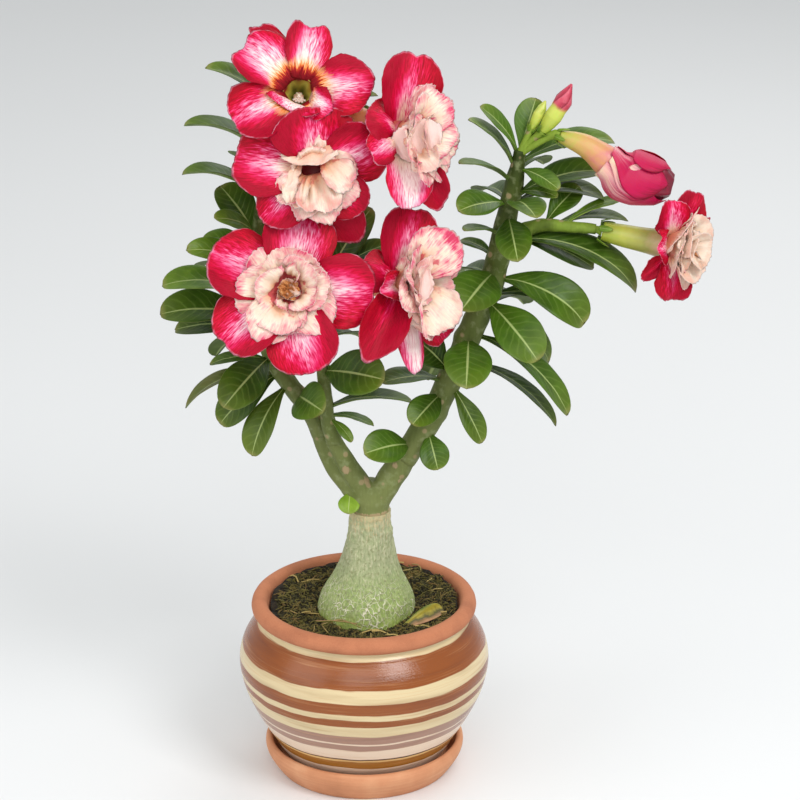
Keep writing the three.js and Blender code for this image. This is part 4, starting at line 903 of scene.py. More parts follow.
OUTER_LIMB = [(-15, -52, 0), (-24, -43.5, -1), (-34.5, -29, -2), (-39.8, -16, -2)]
OUTER_STEM = [
    (-39.8, -16, -2), (-45, -4.5, -2), (-54, 6, -3), (-62, 18, -4), (-69, 34, -5),
    (-72.5, 56, -6), (-71, 80, -5), (-67, 102, -4), (-62, 122, -3), (-56.5, 139, -2),
]
INNER_LIMB = [(-14.5, -51, 2), (-22.5, -38, 4), (-28.5, -28.5, 5), (-33, -20, 6)]
INNER_STEM = [
    (-33, -20, 6), (-36, -10, 8), (-37.5, 2, 9), (-38.5, 18, 8), (-39, 38, 6), (-38, 54, 4), (-37, 66, 3),
]
RIGHT_LIMB = [(-14, -52, 0), (-8.5, -44.5, 0), (-1.5, -34, 0), (2.5, -28, 0)]
RIGHT_STEM = [
    (2.5, -28, 0), (11, -16, 0), (17.5, -5, 0), (24.5, 10, 0), (32, 27, 0), (39, 43, 0),
    (46, 59, 0), (50.5, 77, 0), (54.5, 96, 0), (58, 112, 1), (60, 125, 2),
]
SIDE_TWIG = [(50.5, 79, 0), (60, 84, 2), (71, 87.5, 4), (85, 86.5, 6), (98, 85.5, 7)]
STEMS = {
    "outer": (OUTER_STEM, [4.9, 4.7, 4.5, 4.3, 4.1, 4, 3.8, 3.6, 3.2, 2.4]),
    "inner": (INNER_STEM, [4.2, 3.6, 3.3, 3.2, 3.1, 3, 2.4]),
    "right": (RIGHT_STEM, [6.5, 6.4, 6.3, 6.2, 6.2, 6.1, 5.9, 5.6, 5.2, 4.4, 2.8]),
    "twig": (SIDE_TWIG, [4, 3.8, 3.2, 2.8, 2.4]),
}
LIMBS = [
    (OUTER_LIMB, [7.5, 5.8, 5.2, 4.9]), (INNER_LIMB, [7, 5.6, 4.8, 4.2]), (RIGHT_LIMB, [8.5, 7, 6.6, 6.5]),
]

# Each leaf: root across, up; tip across, up, front; width; roll; droop; youth; and flush, if any.
LEAVES = {
    "outer": [
        (-57.5, 137, -97.5, 166, -6, 20, 22, 30, 0.35), (-62.5, 117, -108, 137, 2, 21, 24, 35, 0.3),
        (-67.5, 101, -109, 112.5, 2, 20, 24, 35, 0.3), (-71, 80, -90, 107, -14, 20, 55, 20, 0.05),
        (-71.5, 80, -93, 91, 22, 12, 60, 25, 0.55), (-71.5, 75, -99, 79, -4, 14, 45, 25, 0.3),
        (-72, 66, -107, 75, 16, 14, 60, 30, 0.6), (-72.5, 53, -119, 57, 4, 20, 38, 30, 0.55),
        (-72, 40, -120, 43, 2, 23, 46, 20, 0.1), (-70, 36, -112.5, 35, -12, 18, 45, 20, 0),
        (-60, 14, -107, -4, -10, 15, 30, 35, 0.3, 0.8), (-62, 20, -95, 18, -14, 10, 40, 20, 0.2),
        (-63.5, 22, -88.5, -4, 30, 21, 82, 25, 0.12), (-60, 14, -90, -12, 8, 18, 60, 25, 0),
        (-55.5, 8, -74, -28, 16, 17, 38, 30, 0.3, 0.3), (-50, 2, -38, -6, 34, 21, 88, 20, 0.3),
        (-56, 138, -11, 152, -8, 15, 25, 20, 0.2), (-57, 134, -14, 145, -4, 12, 30, 20, 0.2),
        (-70, 92, -50, 96, -38, 18, 20, 25, 0.2), (-72, 62, -100, 66, -40, 18, 20, 25, 0.2),
        (-73, 46, -72, 40, -50, 19, 20, 30, 0.1), (-64, 112, -82, 122, -38, 17, 20, 25, 0.3),
        (-60, 128, -48, 142, -36, 16, 20, 25, 0.4), (-66, 30, -92, 22, -36, 18, 20, 30, 0.1),
    ],
    "inner": [
        (-37.5, 14, -7.5, 10, 34, 24, 80, 25, 0.2), (-37, -3, 6.5, -1.5, 12, 16, 22, 20, 0.2),
        (-36, -6, -13, -13, 8, 10, 25, 15, 0.4), (-38, 58, -14, 96, 0, 18, 55, 15, 0.05),
        (-37.5, 60, -6, 78, -4, 14, 40, 15, 0.05), (-38.5, 30, -14, 26, -36, 18, 20, 25, 0.1),
        (-39, 44, -30, 48, -44, 18, 20, 25, 0.1), (-37, 64, -40, 80, -34, 16, 20, 20, 0.3),
        (-36.5, -8, -24, -21, 18, 6, 40, 20, 0.6, 0.2),
    ],
    "right": [
        (5, -22, -18, -27, 24, 19, 74, 25, 0.3), (22, 4, 6, -12.5, 22, 16, 76, 20, 0.3),
        (14, -12, 19, -35, 14, 15, 84, 20, 0.25), (27, 8, 41, -21.5, 10, 12, 62, 20, 0.3, 0.2),
        (22, 10, -9, 8.5, 16, 17, 26, 15, 0.2), (24, 14, 7, 31, 6, 18, 60, 15, 0.05),
        (35, 33, 33, 5.5, 36, 24, 86, 20, 0.3), (44, 50, 69, 19.5, 30, 23, 74, 25, 0.3),
        (44, 46, 74.5, 19, -8, 17, 50, 25, 0.2), (36, 34, 84, -7.5, 10, 17, 34, 30, 0.2),
        (30, 20, 78, -13, 4, 15, 26, 26, 0.1), (48, 66, 30.5, 44.5, 34, 25, 78, 20, 0.25),
        (48, 60, 92, 38, 14, 22, 52, 50, 0.25), (44, 52, 88, 44, -12, 17, 38, 30, 0),
        (52, 80, 118, 54, 12, 22, 36, 45, 0.15), (58, 83, 97, 66, 4, 17, 50, 20, 0.1),
        (53, 92, 59, 69, 34, 18, 86, 15, 0.2), (55, 100, 68, 91, 36, 18, 40, 20, 0.3),
        (54.5, 98, 29, 94.5, 18, 18, 48, 15, 0.3), (57, 110, 29.5, 118, 14, 13, 20, 20, 0.2),
        (58, 117, 34, 140, 6, 15, 32, 20, 0.3), (59, 122, 40, 147, 2, 13, 34, 15, 0.4),
        (60, 122, 68, 151, -8, 15, 72, 10, 0.3), (60, 118, 107, 129, -16, 18, 32, 25, 0.3),
        (56, 102, 102, 114.5, -4, 20, 34, 20, 0.2), (55, 98, 102.5, 99.5, -8, 18, 26, 35, 0),
        (59, 116, 79.5, 105, 16, 10, 60, 25, 0.3), (57, 104, 79, 101.5, 10, 9, 45, 20, 0.2),
        (50, 85, 32, 84.5, 18, 11, 24, 15, 0.3), (49, 72, 30, 80, -12, 11, 28, 15, 0.2),
        (38, 46, 62, 48, -38, 20, 20, 30, 0.1), (46, 62, 26, 60, -36, 19, 20, 30, 0.1),
        (50, 84, 66, 78, -40, 18, 20, 30, 0.1), (55, 100, 40, 104, -38, 17, 20, 25, 0.2),
        (58, 114, 72, 118, -36, 15, 20, 25, 0.3), (28, 18, 14, 10, -38, 18, 20, 30, 0.1),
    ],
    "twig": [
        (72, 88, 90, 107, -6, 14, 50, 15, 0.2), (80, 88, 115, 101, -6, 10, 20, 15, 0.7),
        (76, 88, 114, 89.5, -10, 13, 24, 20, 0.2), (70, 87, 78, 76, -30, 13, 20, 30, 0.2),
    ],
}
FORK_LEAF = (-24.5, -43, -26, -57, 12, 11, 74, 10, 1.0)


def placed_path(path):
    """The points that a path of the set-out stands for."""
    return np.array([place(spot) for spot in path])


def nearest_on(path, radii, across, up):
    """The point of a stem's axis seen nearest to a spot, and the stem's radius there."""
    line = smooth_path(placed_path(path), 61)[1:]
    eye = CROWN_MIDDLE + TOWARDS * SIGHT_DISTANCE
    sight = unit(place((across, up, 0)) - eye)
    best = int(np.argmin(np.linalg.norm(np.cross(line - eye, sight), axis=1)))
    return line[best], radii[round((best + 1) / 60 * (len(radii) - 1))]


def leaf(gather, row, stem, draw, upper, under):
    """One leaf on a stem, with its petiole sunk in the bark."""
    root_across, root_up, tip_across, tip_up, tip_front, width, roll, droop, youth, flush = (*row, 0)[:10]
    point, radius = nearest_on(*stem, root_across, root_up)
    tip = place((tip_across, tip_up, tip_front))
    root = point + unit(tip - point) * 0.6 * radius
    angle = math.radians(roll)
    blade(
        gather, root, tip, heading((0, math.cos(angle), math.sin(angle))), width, neck=0.13, shoulder=0.0,
        rise=0.8 * droop + 5, droop=droop, fold=0.34, cup=0.02, curl=-0.6 - 0.4 * abs(draw()),
        wave=0.9 * draw(), waves=0.8, phase=3 * draw(), frill=0.22, frills=5, furrow=0.15, twist=9 * draw(),
        crumple=0.25, thickness=1.0, rib=0.9, pointed=True, cells=14, finish=upper, back=under,
        tone=youth + 0.06 * draw(), blush=flush, seed=5 * draw(),
    )


# ------------------------------------------------------------------ blooms

TUBE_FLARE = (0.4, 0.5, 0.62, 0.75, 0.88, 1, 1)
MOUTH = 7.5  # mm: the usual radius of a tube where it opens

# Petal rows: clock angle from the top, seen facing the bloom; reach; lift of the tip; width; turn
# about its own length; droop; and further values for the blade where a petal has its own form.
BLOOMS = {
    "bloom_top": {
        "stem": "outer", "throat": (-50.5, 154, 20), "facing": (0.05, 0.18, 1),
        "stalk": [(-56.5, 138, -2), (-55.5, 143, -4), (-54.5, 147, -3)],
        "petals": [
            (-49, 35, 3, 29, 12, 25, {
                "tone": 0.2, "crumple": 1.2,
                "corners": [(-28, 3.2, 15), (20, 3.0, 13), (-4, -1.5, 10), (62, -2.0, 16)]}),
            (11, 34, 0, 24, 12, 20, {
                "tone": 0.14, "crumple": 1.1,
                "corners": [(-27, 2.6, 11), (22, 3.0, 11), (-3, -1.4, 10), (52, -2.0, 13), (80, 4.0, 10)]}),
            (84, 35, 3, 28, 12, 25, {
                "tone": 0.02, "corners": [(-50, 1.5, 16), (-8, 2.0, 16), (30, -1.5, 14), (62, 2.0, 12)]}),
            (138, 17, 1, 24, -20, 30, {"tone": -0.1, "frill": 1.1}),
            (241, 37, 4, 27, 12, 20, {
                "tone": 0.0, "corners": [(-44, 4.2, 12), (0, -2.0, 16), (44, 4.6, 12)]}),
            (207, 12.5, 7.5, 27, 0, 60, {"tone": 0.3, "frill": 1.2, "neck": 0.6, "rows": 20, "warm": 0.3}),
            (124, 18, 8, 17, 20, 60, {"tone": 0.15, "frill": 1.3, "neck": 0.5, "rows": 20, "warm": 0.6}),
            (-29, 41, -7, 15, 12, 10, {
                "tone": -0.8, "crumple": 1.2, "corners": [(-30, 3.4, 11), (0, -1.5, 10), (34, 1.5, 12)]}),
        ],
    },
    "bloom_middle": {
        "stem": "outer", "throat": (-43.5, 115, 30), "facing": (0.08, -0.15, 1),
        "stalk": [(-62, 121, -3), (-56, 120, 2), (-51, 118, 4)],
        "petals": [
            (354, 31.5, 9, 37, 12, 20, {
                "tone": -0.15, "corners": [(-50, 2.6, 14), (6, -1.4, 16), (50, 2.4, 15)]}),
            (276, 37, 2, 34, 12, 20, {
                "corners": [(-48, -1.5, 14), (-14, 2.4, 14), (34, 2.8, 15), (62, -1.5, 14)]}),
            (66, 36, 4, 31, 12, 20, {"corners": [(-46, 1.8, 14), (8, 1.5, 18), (60, -1.0, 16)]}),
            (126, 31, 3, 24, 12, 25, {"tone": -0.3}), (222, 34, 2, 25, 12, 25, {"tone": -0.1}),
            (148, 41, -9, 22, 12, -10, {"tone": -0.8}),
        ],
    },
    "bloom_front": {
        "stem": "inner", "throat": (-55.5, 55, 40), "facing": (0, 0.05, 1),
        "stalk": [(-37.5, 62, 3), (-41, 61, 10), (-46, 58.5, 14)],
        "petals": [
            (10, 40, 3, 37, 12, 25, {"notch": 0.06}), (90, 42, 3, 37, 12, 25, {"notch": 0.03}),
            (163, 42, 3, 36, 12, 25, {}), (229, 42, 3, 33, 12, 25, {"notch": 0.04}),
            (295, 42, 3, 35, 12, 25, {"notch": 0.02}),
        ],
    },
    "bloom_upper_side": {
        "stem": "outer", "throat": (1, 132, 24), "facing": (0.85, -0.05, 0.5),
        "stalk": [(-57.5, 136, -2), (-44, 143, 4), (-34, 145.5, 10)],
        "petals": [
            (0, 40, 5, 29, -50, 15, {"notch": 0.06, "tone": -0.16, "fold": 0.3}),
            (75, 36, 4, 28, 12, 25, {"tone": -0.1}),
            (150, 37, 14, 17, 42, 15, {"tone": -0.5, "frill": 1.5, "fold": 0.5}),
            (186, 35, 8, 24, 38, 15, {"tone": 0.42, "fold": 0.25}),
            (246, 27, -2, 17, 30, 25, {"tone": 0.05, "fold": -0.5, "frill": 1.2}),
            (296, 22, -8, 22, 12, 35, {"tone": -0.3, "fold": -0.4}),
        ],
    },
    "bloom_lower_side": {
        "stem": "inner", "throat": (1, 57.5, 28), "facing": (0.78, -0.02, 0.62),
        "stalk": [(-37.2, 64, 3), (-32, 62, 8), (-27, 60.5, 12)],
        "petals": [
            (0, 38, 6, 28, -45, 15, {"notch": 0.04, "tone": -0.12, "fold": 0.3}),
            (80, 37, 3, 28, 12, 25, {"tone": -0.1}),
            (132, 38, 7, 25, 12, 25, {"tone": -0.1}),
            (176, 43, 8, 14, 30, 10, {"tone": 0.5, "fold": -0.5, "frill": 1.2}),
            (214, 42, -2, 23, 38, 15, {"tone": -0.5, "curl": 1.8, "fold": 0.5, "corners": [(0, 3.0, 14)]}),
            (262, 22, 4, 15, 10, 35, {"tone": 0.1, "fold": 0.6, "frill": 1.4}),
            (292, 25, -7, 24, 12, 45, {"tone": -0.35, "fold": -0.4, "frill": 1.0}),
        ],
    },
    "bloom_pale": {
        "stem": "twig", "throat": (135.5, 77.5, 16), "facing": (0.86, -0.2, 0.46), "mouth": 7.0,
        "flare": (0.66, 0.74, 0.8, 0.84, 0.9, 1, 1), "skin": "tube_pale",
        "stalk": [(95, 85.7, 6.5), (98, 85.3, 7), (101, 84.6, 7.5)],
        "petals": [
            (328, 26, 2, 19, -35, 30, {"tone": 0.0, "frill": 1.3}),
            (10, 28, 6, 19, -30, 30, {"tone": -0.3, "frill": 1.3}),
            (62, 26, 8, 19, 12, 25, {"tone": -0.4, "frill": 1.2}),
            (125, 25, 7, 19, 12, 25, {"tone": -0.4, "frill": 1.2}),
            (172, 27, 4, 20, 32, 30, {"tone": -0.2, "frill": 1.3}),
            (205, 21, -8, 9, 30, 10, {"tone": -0.5}),
            (262, 17, 1, 18, 12, 40, {"tone": 0.05, "frill": 1.2}),
        ],
    },
}

# The low frilled collar that the inner petals of a heart grow on: clock angle, reach from the
# throat's axis and lift in front of the throat, around its rim.
COLLARS = {
    "bloom_middle": [(0, 12, 6), (60, 12, 6), (100, 17, 6), (150, 19, 6), (200, 17, 7), (260, 11, 6),
        (310, 11, 6)],
    "bloom_front": [(0, 14, 7), (60, 14, 7), (130, 19, 7), (205, 21, 7), (255, 20, 7), (320, 17, 7)],
    "bloom_upper_side": [(0, 19, 14), (60, 18, 15), (130, 19, 15), (200, 18, 14), (270, 14, 12),
        (330, 16, 13)],
    "bloom_lower_side": [(0, 20, 13), (60, 19, 15), (130, 20, 15), (200, 20, 14), (270, 14, 12),
        (330, 16, 13)],
    "bloom_pale": [(0, 13, 10), (90, 12, 10), (180, 13, 10), (270, 12, 10)],
}

# Rings of inner petals, outermost first. Each ring: where its petals root (reach, lift), their rise,
# droop, blush and warmth; then for each petal clock angle, reach, lift of the tip and width.
# Warmth is the throat's orange brown, partly colour and partly painted shade, so inner rings have more.
RINGS = {
    "bloom_middle": [
        ((5, 1.5, 30, 20, 0.7, 0.0), [
            (88, 20.5, 8, 17), (128, 25, 8, 18), (160, 25, 8, 17), (196, 22.5, 8, 15),
            (228, 21.5, 8, 14)]),
    ],
    "bloom_front": [
        ((4.5, 1.5, 30, 12, 0.95, 0.0), [
            (326, 24.5, 8, 26), (28, 19.5, 9, 24), (84, 20.5, 9, 22), (132, 27, 9, 22),
            (176, 22, 8, 19), (213, 28.5, 9, 24), (266, 26.5, 9, 25)]),
        ((7.4, 2.5, 50, 16, 0.75, 0.03), [
            (334, 19.5, 10, 23), (38, 15.5, 13, 18), (96, 20, 11, 20), (200, 23.5, 11, 24)]),
        ((7.0, 3.0, 60, 14, 0.85, 0.06), [
            (285, 14.5, 13, 19), (130, 13.5, 13, 15)]),
        ((7.0, 3.5, 64, 8, 0.95, 0.2), [
            (20, 10.5, 12, 9), (190, 11, 10, 11)]),
    ],
    "bloom_upper_side": [
        ((4, 3.0, 46, 22, 0.95, 0.0), [
            (0, 24.5, 18, 22), (45, 23.5, 18, 20), (92, 23, 18, 20), (142, 24, 18, 21),
            (190, 24, 18, 20), (236, 19, 16, 18), (282, 18, 16, 17), (326, 21, 17, 19)]),
        ((2.5, 5.0, 60, 28, 0.6, 0.05), [
            (20, 15, 22, 16), (88, 14, 22, 15), (156, 15.5, 22, 16), (228, 12, 20, 14),
            (300, 13, 21, 14)]),
    ],
    "bloom_lower_side": [
        ((4, 3.0, 46, 22, 0.95, 0.0), [
            (8, 28, 16, 22), (55, 25, 19, 20), (100, 23, 18, 20), (148, 26, 18, 21), (192, 27, 19, 21),
            (236, 21, 17, 18), (282, 19, 17, 17), (326, 21, 16, 19)]),
        ((2.5, 5.0, 60, 28, 0.6, 0.05), [
            (15, 14.5, 21, 16), (86, 14, 21, 15), (160, 17, 21, 16), (230, 14, 20, 14),
            (300, 13, 20, 14)]),
    ],
    "bloom_pale": [
        ((5, 0.5, 44, 10, 0.4, 0.1), [
            (0, 20, 11, 21), (62, 19.5, 12, 20), (122, 19, 12, 20), (182, 20, 12, 21),
            (240, 17, 10, 20), (300, 17, 11, 20)]),
        ((4, 2.0, 52, 16, 0.2, 0.2), [
            (30, 16, 15, 21), (100, 16, 16, 21), (172, 16, 15, 21), (244, 14, 13, 20), (314, 14, 14, 20)]),
        ((2.5, 4.0, 60, 12, 0.15, 0.24), [
            (0, 9, 18, 17), (90, 10, 19, 17), (180, 9, 18, 17), (270, 7, 17, 16)]),
    ],
}

# Single flaps of the hearts: root and tip, in mm across, up and towards the viewer from the
# throat; where the face looks, the same way; width; rise; droop; blush; and further values.
HEARTS = {
    "bloom_middle": [
        ((4, 6, 3), (5.5, 17, 8), (0.6, -0.4, 1), 9, 30, 20, 0.3, {
            "fold": -0.7, "tone": 0.4, "corners": [(0, 2.0, 14)]}),
        ((-1, 11, 4), (-1.5, 1.2, 13), (0.1, -1, -0.5), 24, 30, 50, 0.12, {
            "cup": -0.3, "neck": 0.75, "tone": 0.3,
            "corners": [(-50, 2.0, 14), (44, 2.4, 14), (0, -1.5, 20)]}),
        ((-6, 4, 3), (-13.5, -13, 8), (-0.5, 0.3, 1), 9, 40, 25, 0.15, {
            "fold": -0.8, "tone": 0.3, "corners": [(0, 2.0, 14)]}),
        ((5, 4, 4), (18, -9.5, 10), (0.1, 0.4, 1), 16, 45, 30, 0.6, {
            "corners": [(-40, 1.8, 14), (30, 2.0, 14)], "fold": -0.2}),
        ((0.5, -2.2, 1.5), (5.5, -22, 9), (0, 0.35, 1), 20, 40, 20, 0.5, {
            "neck": 0.5, "furrow": 1.6, "corners": [(-36, 2.2, 14), (12, -2.0, 12), (44, 2.2, 14)]}),
        ((-3.5, -3, 2), (-9, -18, 8), (-0.2, 0.35, 1), 13, 40, 20, 0.2, {
            "furrow": 1.0, "fold": 0.4, "neck": 0.5}),
    ],
    "bloom_front": [],
    "bloom_upper_side": [
        ((6, 4, 8), (22, 17, 12), (-0.3, -0.2, 1), 23, 35, 30, 1.1, {}),
        ((8, 0, 8), (26, -3, 12), (-0.3, 0, 1), 19, 35, 30, 1.1, {}),
        ((12, -13, 6), (3.5, 6, 14), (-0.35, 0.1, 1), 23, 35, 20, 0.03, {
            "cup": -0.1, "neck": 0.5, "tone": 0.95, "crumple": 0.6, "frill": 0.4, "furrow": 0.9,
            "corners": [(-44, 2.5, 14), (0, -1.0, 16), (40, 2.5, 14)]}),
        ((8, -6, 7), (15, -17, 14), (-0.3, 0.1, 1), 14, 40, 35, 0.3, {"tone": 0.2}),
    ],
    "bloom_lower_side": [
        ((6, 4, 6), (26, 24, 10), (-0.2, -0.1, 1), 24, 30, 25, 1.25, {}),
        ((6, -2, 6), (24, -22, 10), (-0.1, 0.2, 1), 24, 40, 30, 0.4, {"tone": 0.0}),
        ((11, 9, 9), (7, -9, 15), (-0.3, 0.3, 1), 14, 30, 30, 0.05, {
            "tone": 0.95, "fold": -0.5, "crumple": 0.5, "corners": [(0, 2.0, 14)]}),
        ((4, 3, 5), (4, 12, 13), (-0.6, 0.3, 0.9), 13, 50, 30, 0.9, {}),
    ],
    "bloom_pale": [],
}


def bloom_frame(bloom):
    """Where a bloom's throat is and which way it looks."""
    forward = heading(bloom["facing"])
    upright = unit(UP - forward * (UP @ forward))
    right = np.cross(upright, forward)
    origin = place(bloom["throat"])

    def at(clock, reach, lift):
        angle = math.radians(clock)
        return origin + upright * reach * math.cos(angle) + right * reach * math.sin(angle) + forward * lift

    return origin, forward, at


def bloom_tube_path(bloom):
    """The bend of a bloom's tube, from its stalk to its throat."""
    origin, forward, _ = bloom_frame(bloom)
    end, before = place(bloom["stalk"][-1]), place(bloom["stalk"][-2])
    outward = unit(end - before)
    length = np.linalg.norm(origin - end)
    controls = (end + outward * GAP, end + outward * 0.35 * length, origin - forward * 0.4 * length, origin)
    return cubic(controls, np.linspace(0, 1, 7))[0]


# Radius and depth along the single bloom's open throat, from its mouth inwards.
THROAT_ROWS = [(7.1, 0.1), (6.7, 1.0), (6.0, 2.4), (5.1, 4.4), (4.3, 7.0), (3.3, 10.0), (2.3, 12.9)]


def corolla(name, bloom):
    """A bloom's fleshy tube and its outer petals."""
    gather = Gather()
    origin, forward, at = bloom_frame(bloom)
    draw = draws(hash_of(name))
    radii = [share * bloom.get("mouth", MOUTH) for share in bloom.get("flare", TUBE_FLARE)]
    single = name not in HEARTS
    tube(gather, bloom_tube_path(bloom), radii, finish=2, sides=40, rings=36, lining=3,
         hollow=THROAT_ROWS if single else THROAT_ROWS[:4], blush=0.0 if single else 1.0,
         shape=lambda angle, share: 1 + 0.025 * np.cos(5 * angle) * share)
    start, depth, neck = (6.2, 0.2, 0.4) if single else (5.6, -0.8, 0.42)
    for clock, reach, lift, width, turn, droop, own in bloom["petals"]:
        sideways = at(clock + 90, 1, 0) - origin
        options = {
            "corners": [(-58 + 12 * draw(), 1.4 * draw(), 17), (20 * draw(), 1.1 * draw(), 14),
                        (54 + 12 * draw(), 1.4 * draw(), 17)],
            "neck": neck, "rise": 38, "droop": droop, "cup": 0.1, "curl": -0.3, "wave": 1.5 + 0.5 * draw(),
            "phase": 3 * draw(), "frill": 0.65, "frills": 8 + 3 * draw(), "furrow": 0.2, "crumple": 0.7,
            "ragged": 0.32, "thickness": 0.8, "cells": 56, "rows": 34, "seed": 9 * draw(),
            "warm": 1.0 if single else 0.0, "tone": 0.05 * draw(), **own,
        }
        blade(gather, at(clock, start, depth), at(clock, reach, lift),
              forward + sideways * math.tan(math.radians(turn)), width, **options)
    materials = ["petal", "petal_back", bloom.get("skin", "tube"), "throat"]
    return as_piece(f"{name}_petals", gather, materials, [f"{name}_corolla"])


def heart(name, bloom):
    """The ruffled inner petals of a double bloom, around a small crumpled centre."""
    gather = Gather()
    origin, forward, at = bloom_frame(bloom)
    draw = draws(hash_of(name) + 1)
    open_hearted = name == "bloom_middle"
    spot = lambda offset: origin + ACROSS * offset[0] + UP * offset[1] + TOWARDS * offset[2]
    crepe = lambda: {
        "neck": 0.38, "cup": 0.1, "curl": 0.6 * draw(), "wave": 1.4 + 0.5 * draw(), "waves": 1.3,
        "phase": 3 * draw(), "frill": 0.65, "frills": 6 + 2 * draw(), "furrow": 0.5, "crumple": 1.25,
        "ragged": 0.6, "thickness": 0.7, "cells": 44, "rows": 24, "seed": 9 * draw(),
        "tone": 0.12 + 0.12 * draw(),
        "corners": [(-50 + 12 * draw(), 0.8 + 2.0 * draw(), 12), (16 * draw(), 1.9 * draw(), 12),
                    (50 + 12 * draw(), 0.8 + 2.0 * draw(), 12)],
        "finish": 0, "back": 0,
    }
    collar(gather, at, COLLARS[name], phase=3 * draw(), seed=9 * draw(), tone=0.15, blush=0.4)
    for (start, seat, rise, droop, blush, warm), petals in RINGS[name]:
        for clock, reach, lift, width in petals:
            clock = clock + 3 * draw()
            side = at(clock + 90, 1, 0) - origin
            calm = {"crumple": 0.6, "ragged": 0.4, "frill": 0.4} if name == "bloom_pale" else {}
            blade(gather, at(clock, start, seat + 0.5 * draw()), at(clock, reach, lift + draw()),
                  forward + side * 0.3 * draw(), width, rise=rise, droop=droop, blush=blush, warm=warm,
                  **{**crepe(), **calm})
    for root, tip, face, width, rise, droop, blush, own in HEARTS[name]:
        # Flaps of the open heart take some throat brown, partly colour and partly painted shade.
        options = {**crepe(), "neck": 0.3, "tone": 0.1, "warm": 0.24 if open_hearted else 0.0, **own}
        blade(gather, spot(root), spot(tip), heading(face), width, rise=rise, droop=droop, blush=blush,
              **options)
    # The crumpled centre is mostly throat brown, partly painted shade deep in the heart.
    for k in range(0 if open_hearted else 9):
        clock = 40 * k + 16 * draw()
        blade(gather, at(clock, 0.8, 1.0), at(clock, 5.4 + 1.4 * draw(), 8.2 + 1.5 * draw()), forward,
              6.5 + draw(), **{**crepe(), "rise": 60, "droop": 20, "cup": 0.3, "cells": 20, "rows": 14,
                               "blush": 0.5, "warm": 0.95 if k % 3 else 0.5})
    return as_piece(f"{name}_ruffle", gather, ["heart"], [f"{name}_heart"])


def hash_of(name):
    """A seed of its own for each piece."""
    return sum((k + 3) * ord(letter) for k, letter in enumerate(name))


def stamens(bloom):
    """The single bloom's cone of joined stamens, with its pale tips."""
    gather = Gather()
    _, _, at = bloom_frame(bloom)
    draw = draws(41)
    tube(gather, [at(0, 0, -12.6), at(0, 0, -8), at(180, 1.2, -3.5)], [1.9, 2.1, 0.8], sides=20, rings=14,
         shape=lambda angle, share: 1 + 0.2 * np.cos(5 * angle), blush=0.0)
    for k in range(5):
        clock = 72 * k + 16 * draw()
        path = [at(clock, 1.3, -8.0), at(152 + 14 * k, 2.9, -4.6),
                at(140 + 20 * k, 4.4 + 0.6 * draw(), -1.6 + 0.9 * draw())]
        tube(gather, path, [1.2, 1.3, 0.4], sides=12, rings=14, blush=0.1, tone=0.4)
    return as_piece("bloom_top_stamen_cone", gather, ["heart"], ["bloom_top_stamens"])


# ------------------------------------------------------------------ buds

BUDS = {
    "bud_opening": {
        "stem": "right", "stalk": [(60, 123, 2), (70, 129, 5), (77.5, 132.7, 7), (80, 131.9, 8)],
        "path": [
            (80, 131.9, 8), (93, 127, 10), (104, 119, 12), (112, 113, 13), (124, 110, 14), (136, 107, 15)],
        "radii": [3, 4.4, 5.4, 6.2, 7.4, 9, 13.0, 13.8, 12.8, 11.0, 6.0], "sepal": 4.5,
        # Begin and end along the bud, turn, span, winding, loose edge, flare of the tip, paleness;
        # the palest petals are partly pale in colour and partly a painted highlight.
        "petals": [
            (0.42, 0.98, 150, 130, 60, 1.0, 0.6, 0.3), (0.43, 0.96, 222, 130, 60, 1.0, 0.8, 0.2),
            (0.42, 0.97, 84, 125, 50, 1.2, 1.0, 0.9), (0.42, 0.99, 20, 120, 55, 1.6, 0.6, 0.35),
            (0.43, 0.92, -46, 106, 44, 1.4, 0.2, 0.7), (0.41, 0.96, -78, 130, 62, 2.2, 0.0, 0.1),
        ],
    },
    "bud_red": {
        "stem": "right", "stalk": [(60, 124, 2), (66, 130, 3), (70, 133.3, 4), (71.5, 134.6, 4.5)],
        "path": [(71.5, 134.6, 4.5), (76.5, 141.5, 5.5), (81, 148.5, 6), (85.8, 158, 6)],
        "radii": [2.4, 3.6, 4.3, 4, 4.3, 2.6, 0.5], "winding": 0.9, "furl": 0.52, "sepal": 2.6,
    },
    "bud_green": {
        "stem": "right", "stalk": [(60, 124, 2), (63, 130.5, 2), (65.2, 134.5, 2), (65.9, 135.8, 2)],
        "path": [(65.9, 135.8, 2), (68.5, 141, 2), (72.8, 149.6, 2)],
        "radii": [1.6, 2.5, 2.8, 2.2, 0.4], "winding": 0.8, "furl": 0.55, "sepal": 2.2,
    },
}


def opening_bud(name, bud):
    """The bud about to open: a fleshy tube and six loose petals wound around a furled core, whose dark
    red is partly painted shade inside the petals.
    """
    gather = Gather()
    path = placed_path(bud["path"])
    slim = [radius * (1 if k < 5 else 0.86) for k, radius in enumerate(bud["radii"])]
    tube(gather, path, slim, sides=80, rings=60, finish=2, shape=lambda angle, share: (
        1 + 0.12 * np.cos(5 * (angle - 3 * share)) * np.clip((share - 0.6) / 0.2, 0, 1)))
    for begin, end, turn, span, winding, loose, flare, pale in bud["petals"]:
        wrapped(gather, path, slim, begin, end, turn, span, winding, loose, flare, tone=pale,
                seed=turn / 40, blush=0.95)
    return as_piece(f"{name}_furled", gather, ["petal_back", "petal", "tube_bud"], [name])


def furled_bud(name, bud):
    """A bud whose petals overlap in a spiral, each with a step where the next one covers it."""
    gather = Gather()
    furl, winding = bud["furl"], bud["winding"]

    def overlaps(angle, share):
        wound = angle - winding * math.pi * np.maximum(0, share - furl)
        step = (5 * wound / (2 * math.pi)) % 1.0
        grown = np.clip((share - furl) / 0.15, 0, 1)
        return 1 + grown * (0.13 * step ** 2 - 0.05)

    tube(gather, placed_path(bud["path"]), bud["radii"], sides=90, rings=70, shape=overlaps)
    return as_piece(f"{name}_furled", gather, [bud_skin(name, furl, winding)], [name])


# ------------------------------------------------------------------ shoots, fork and trunk


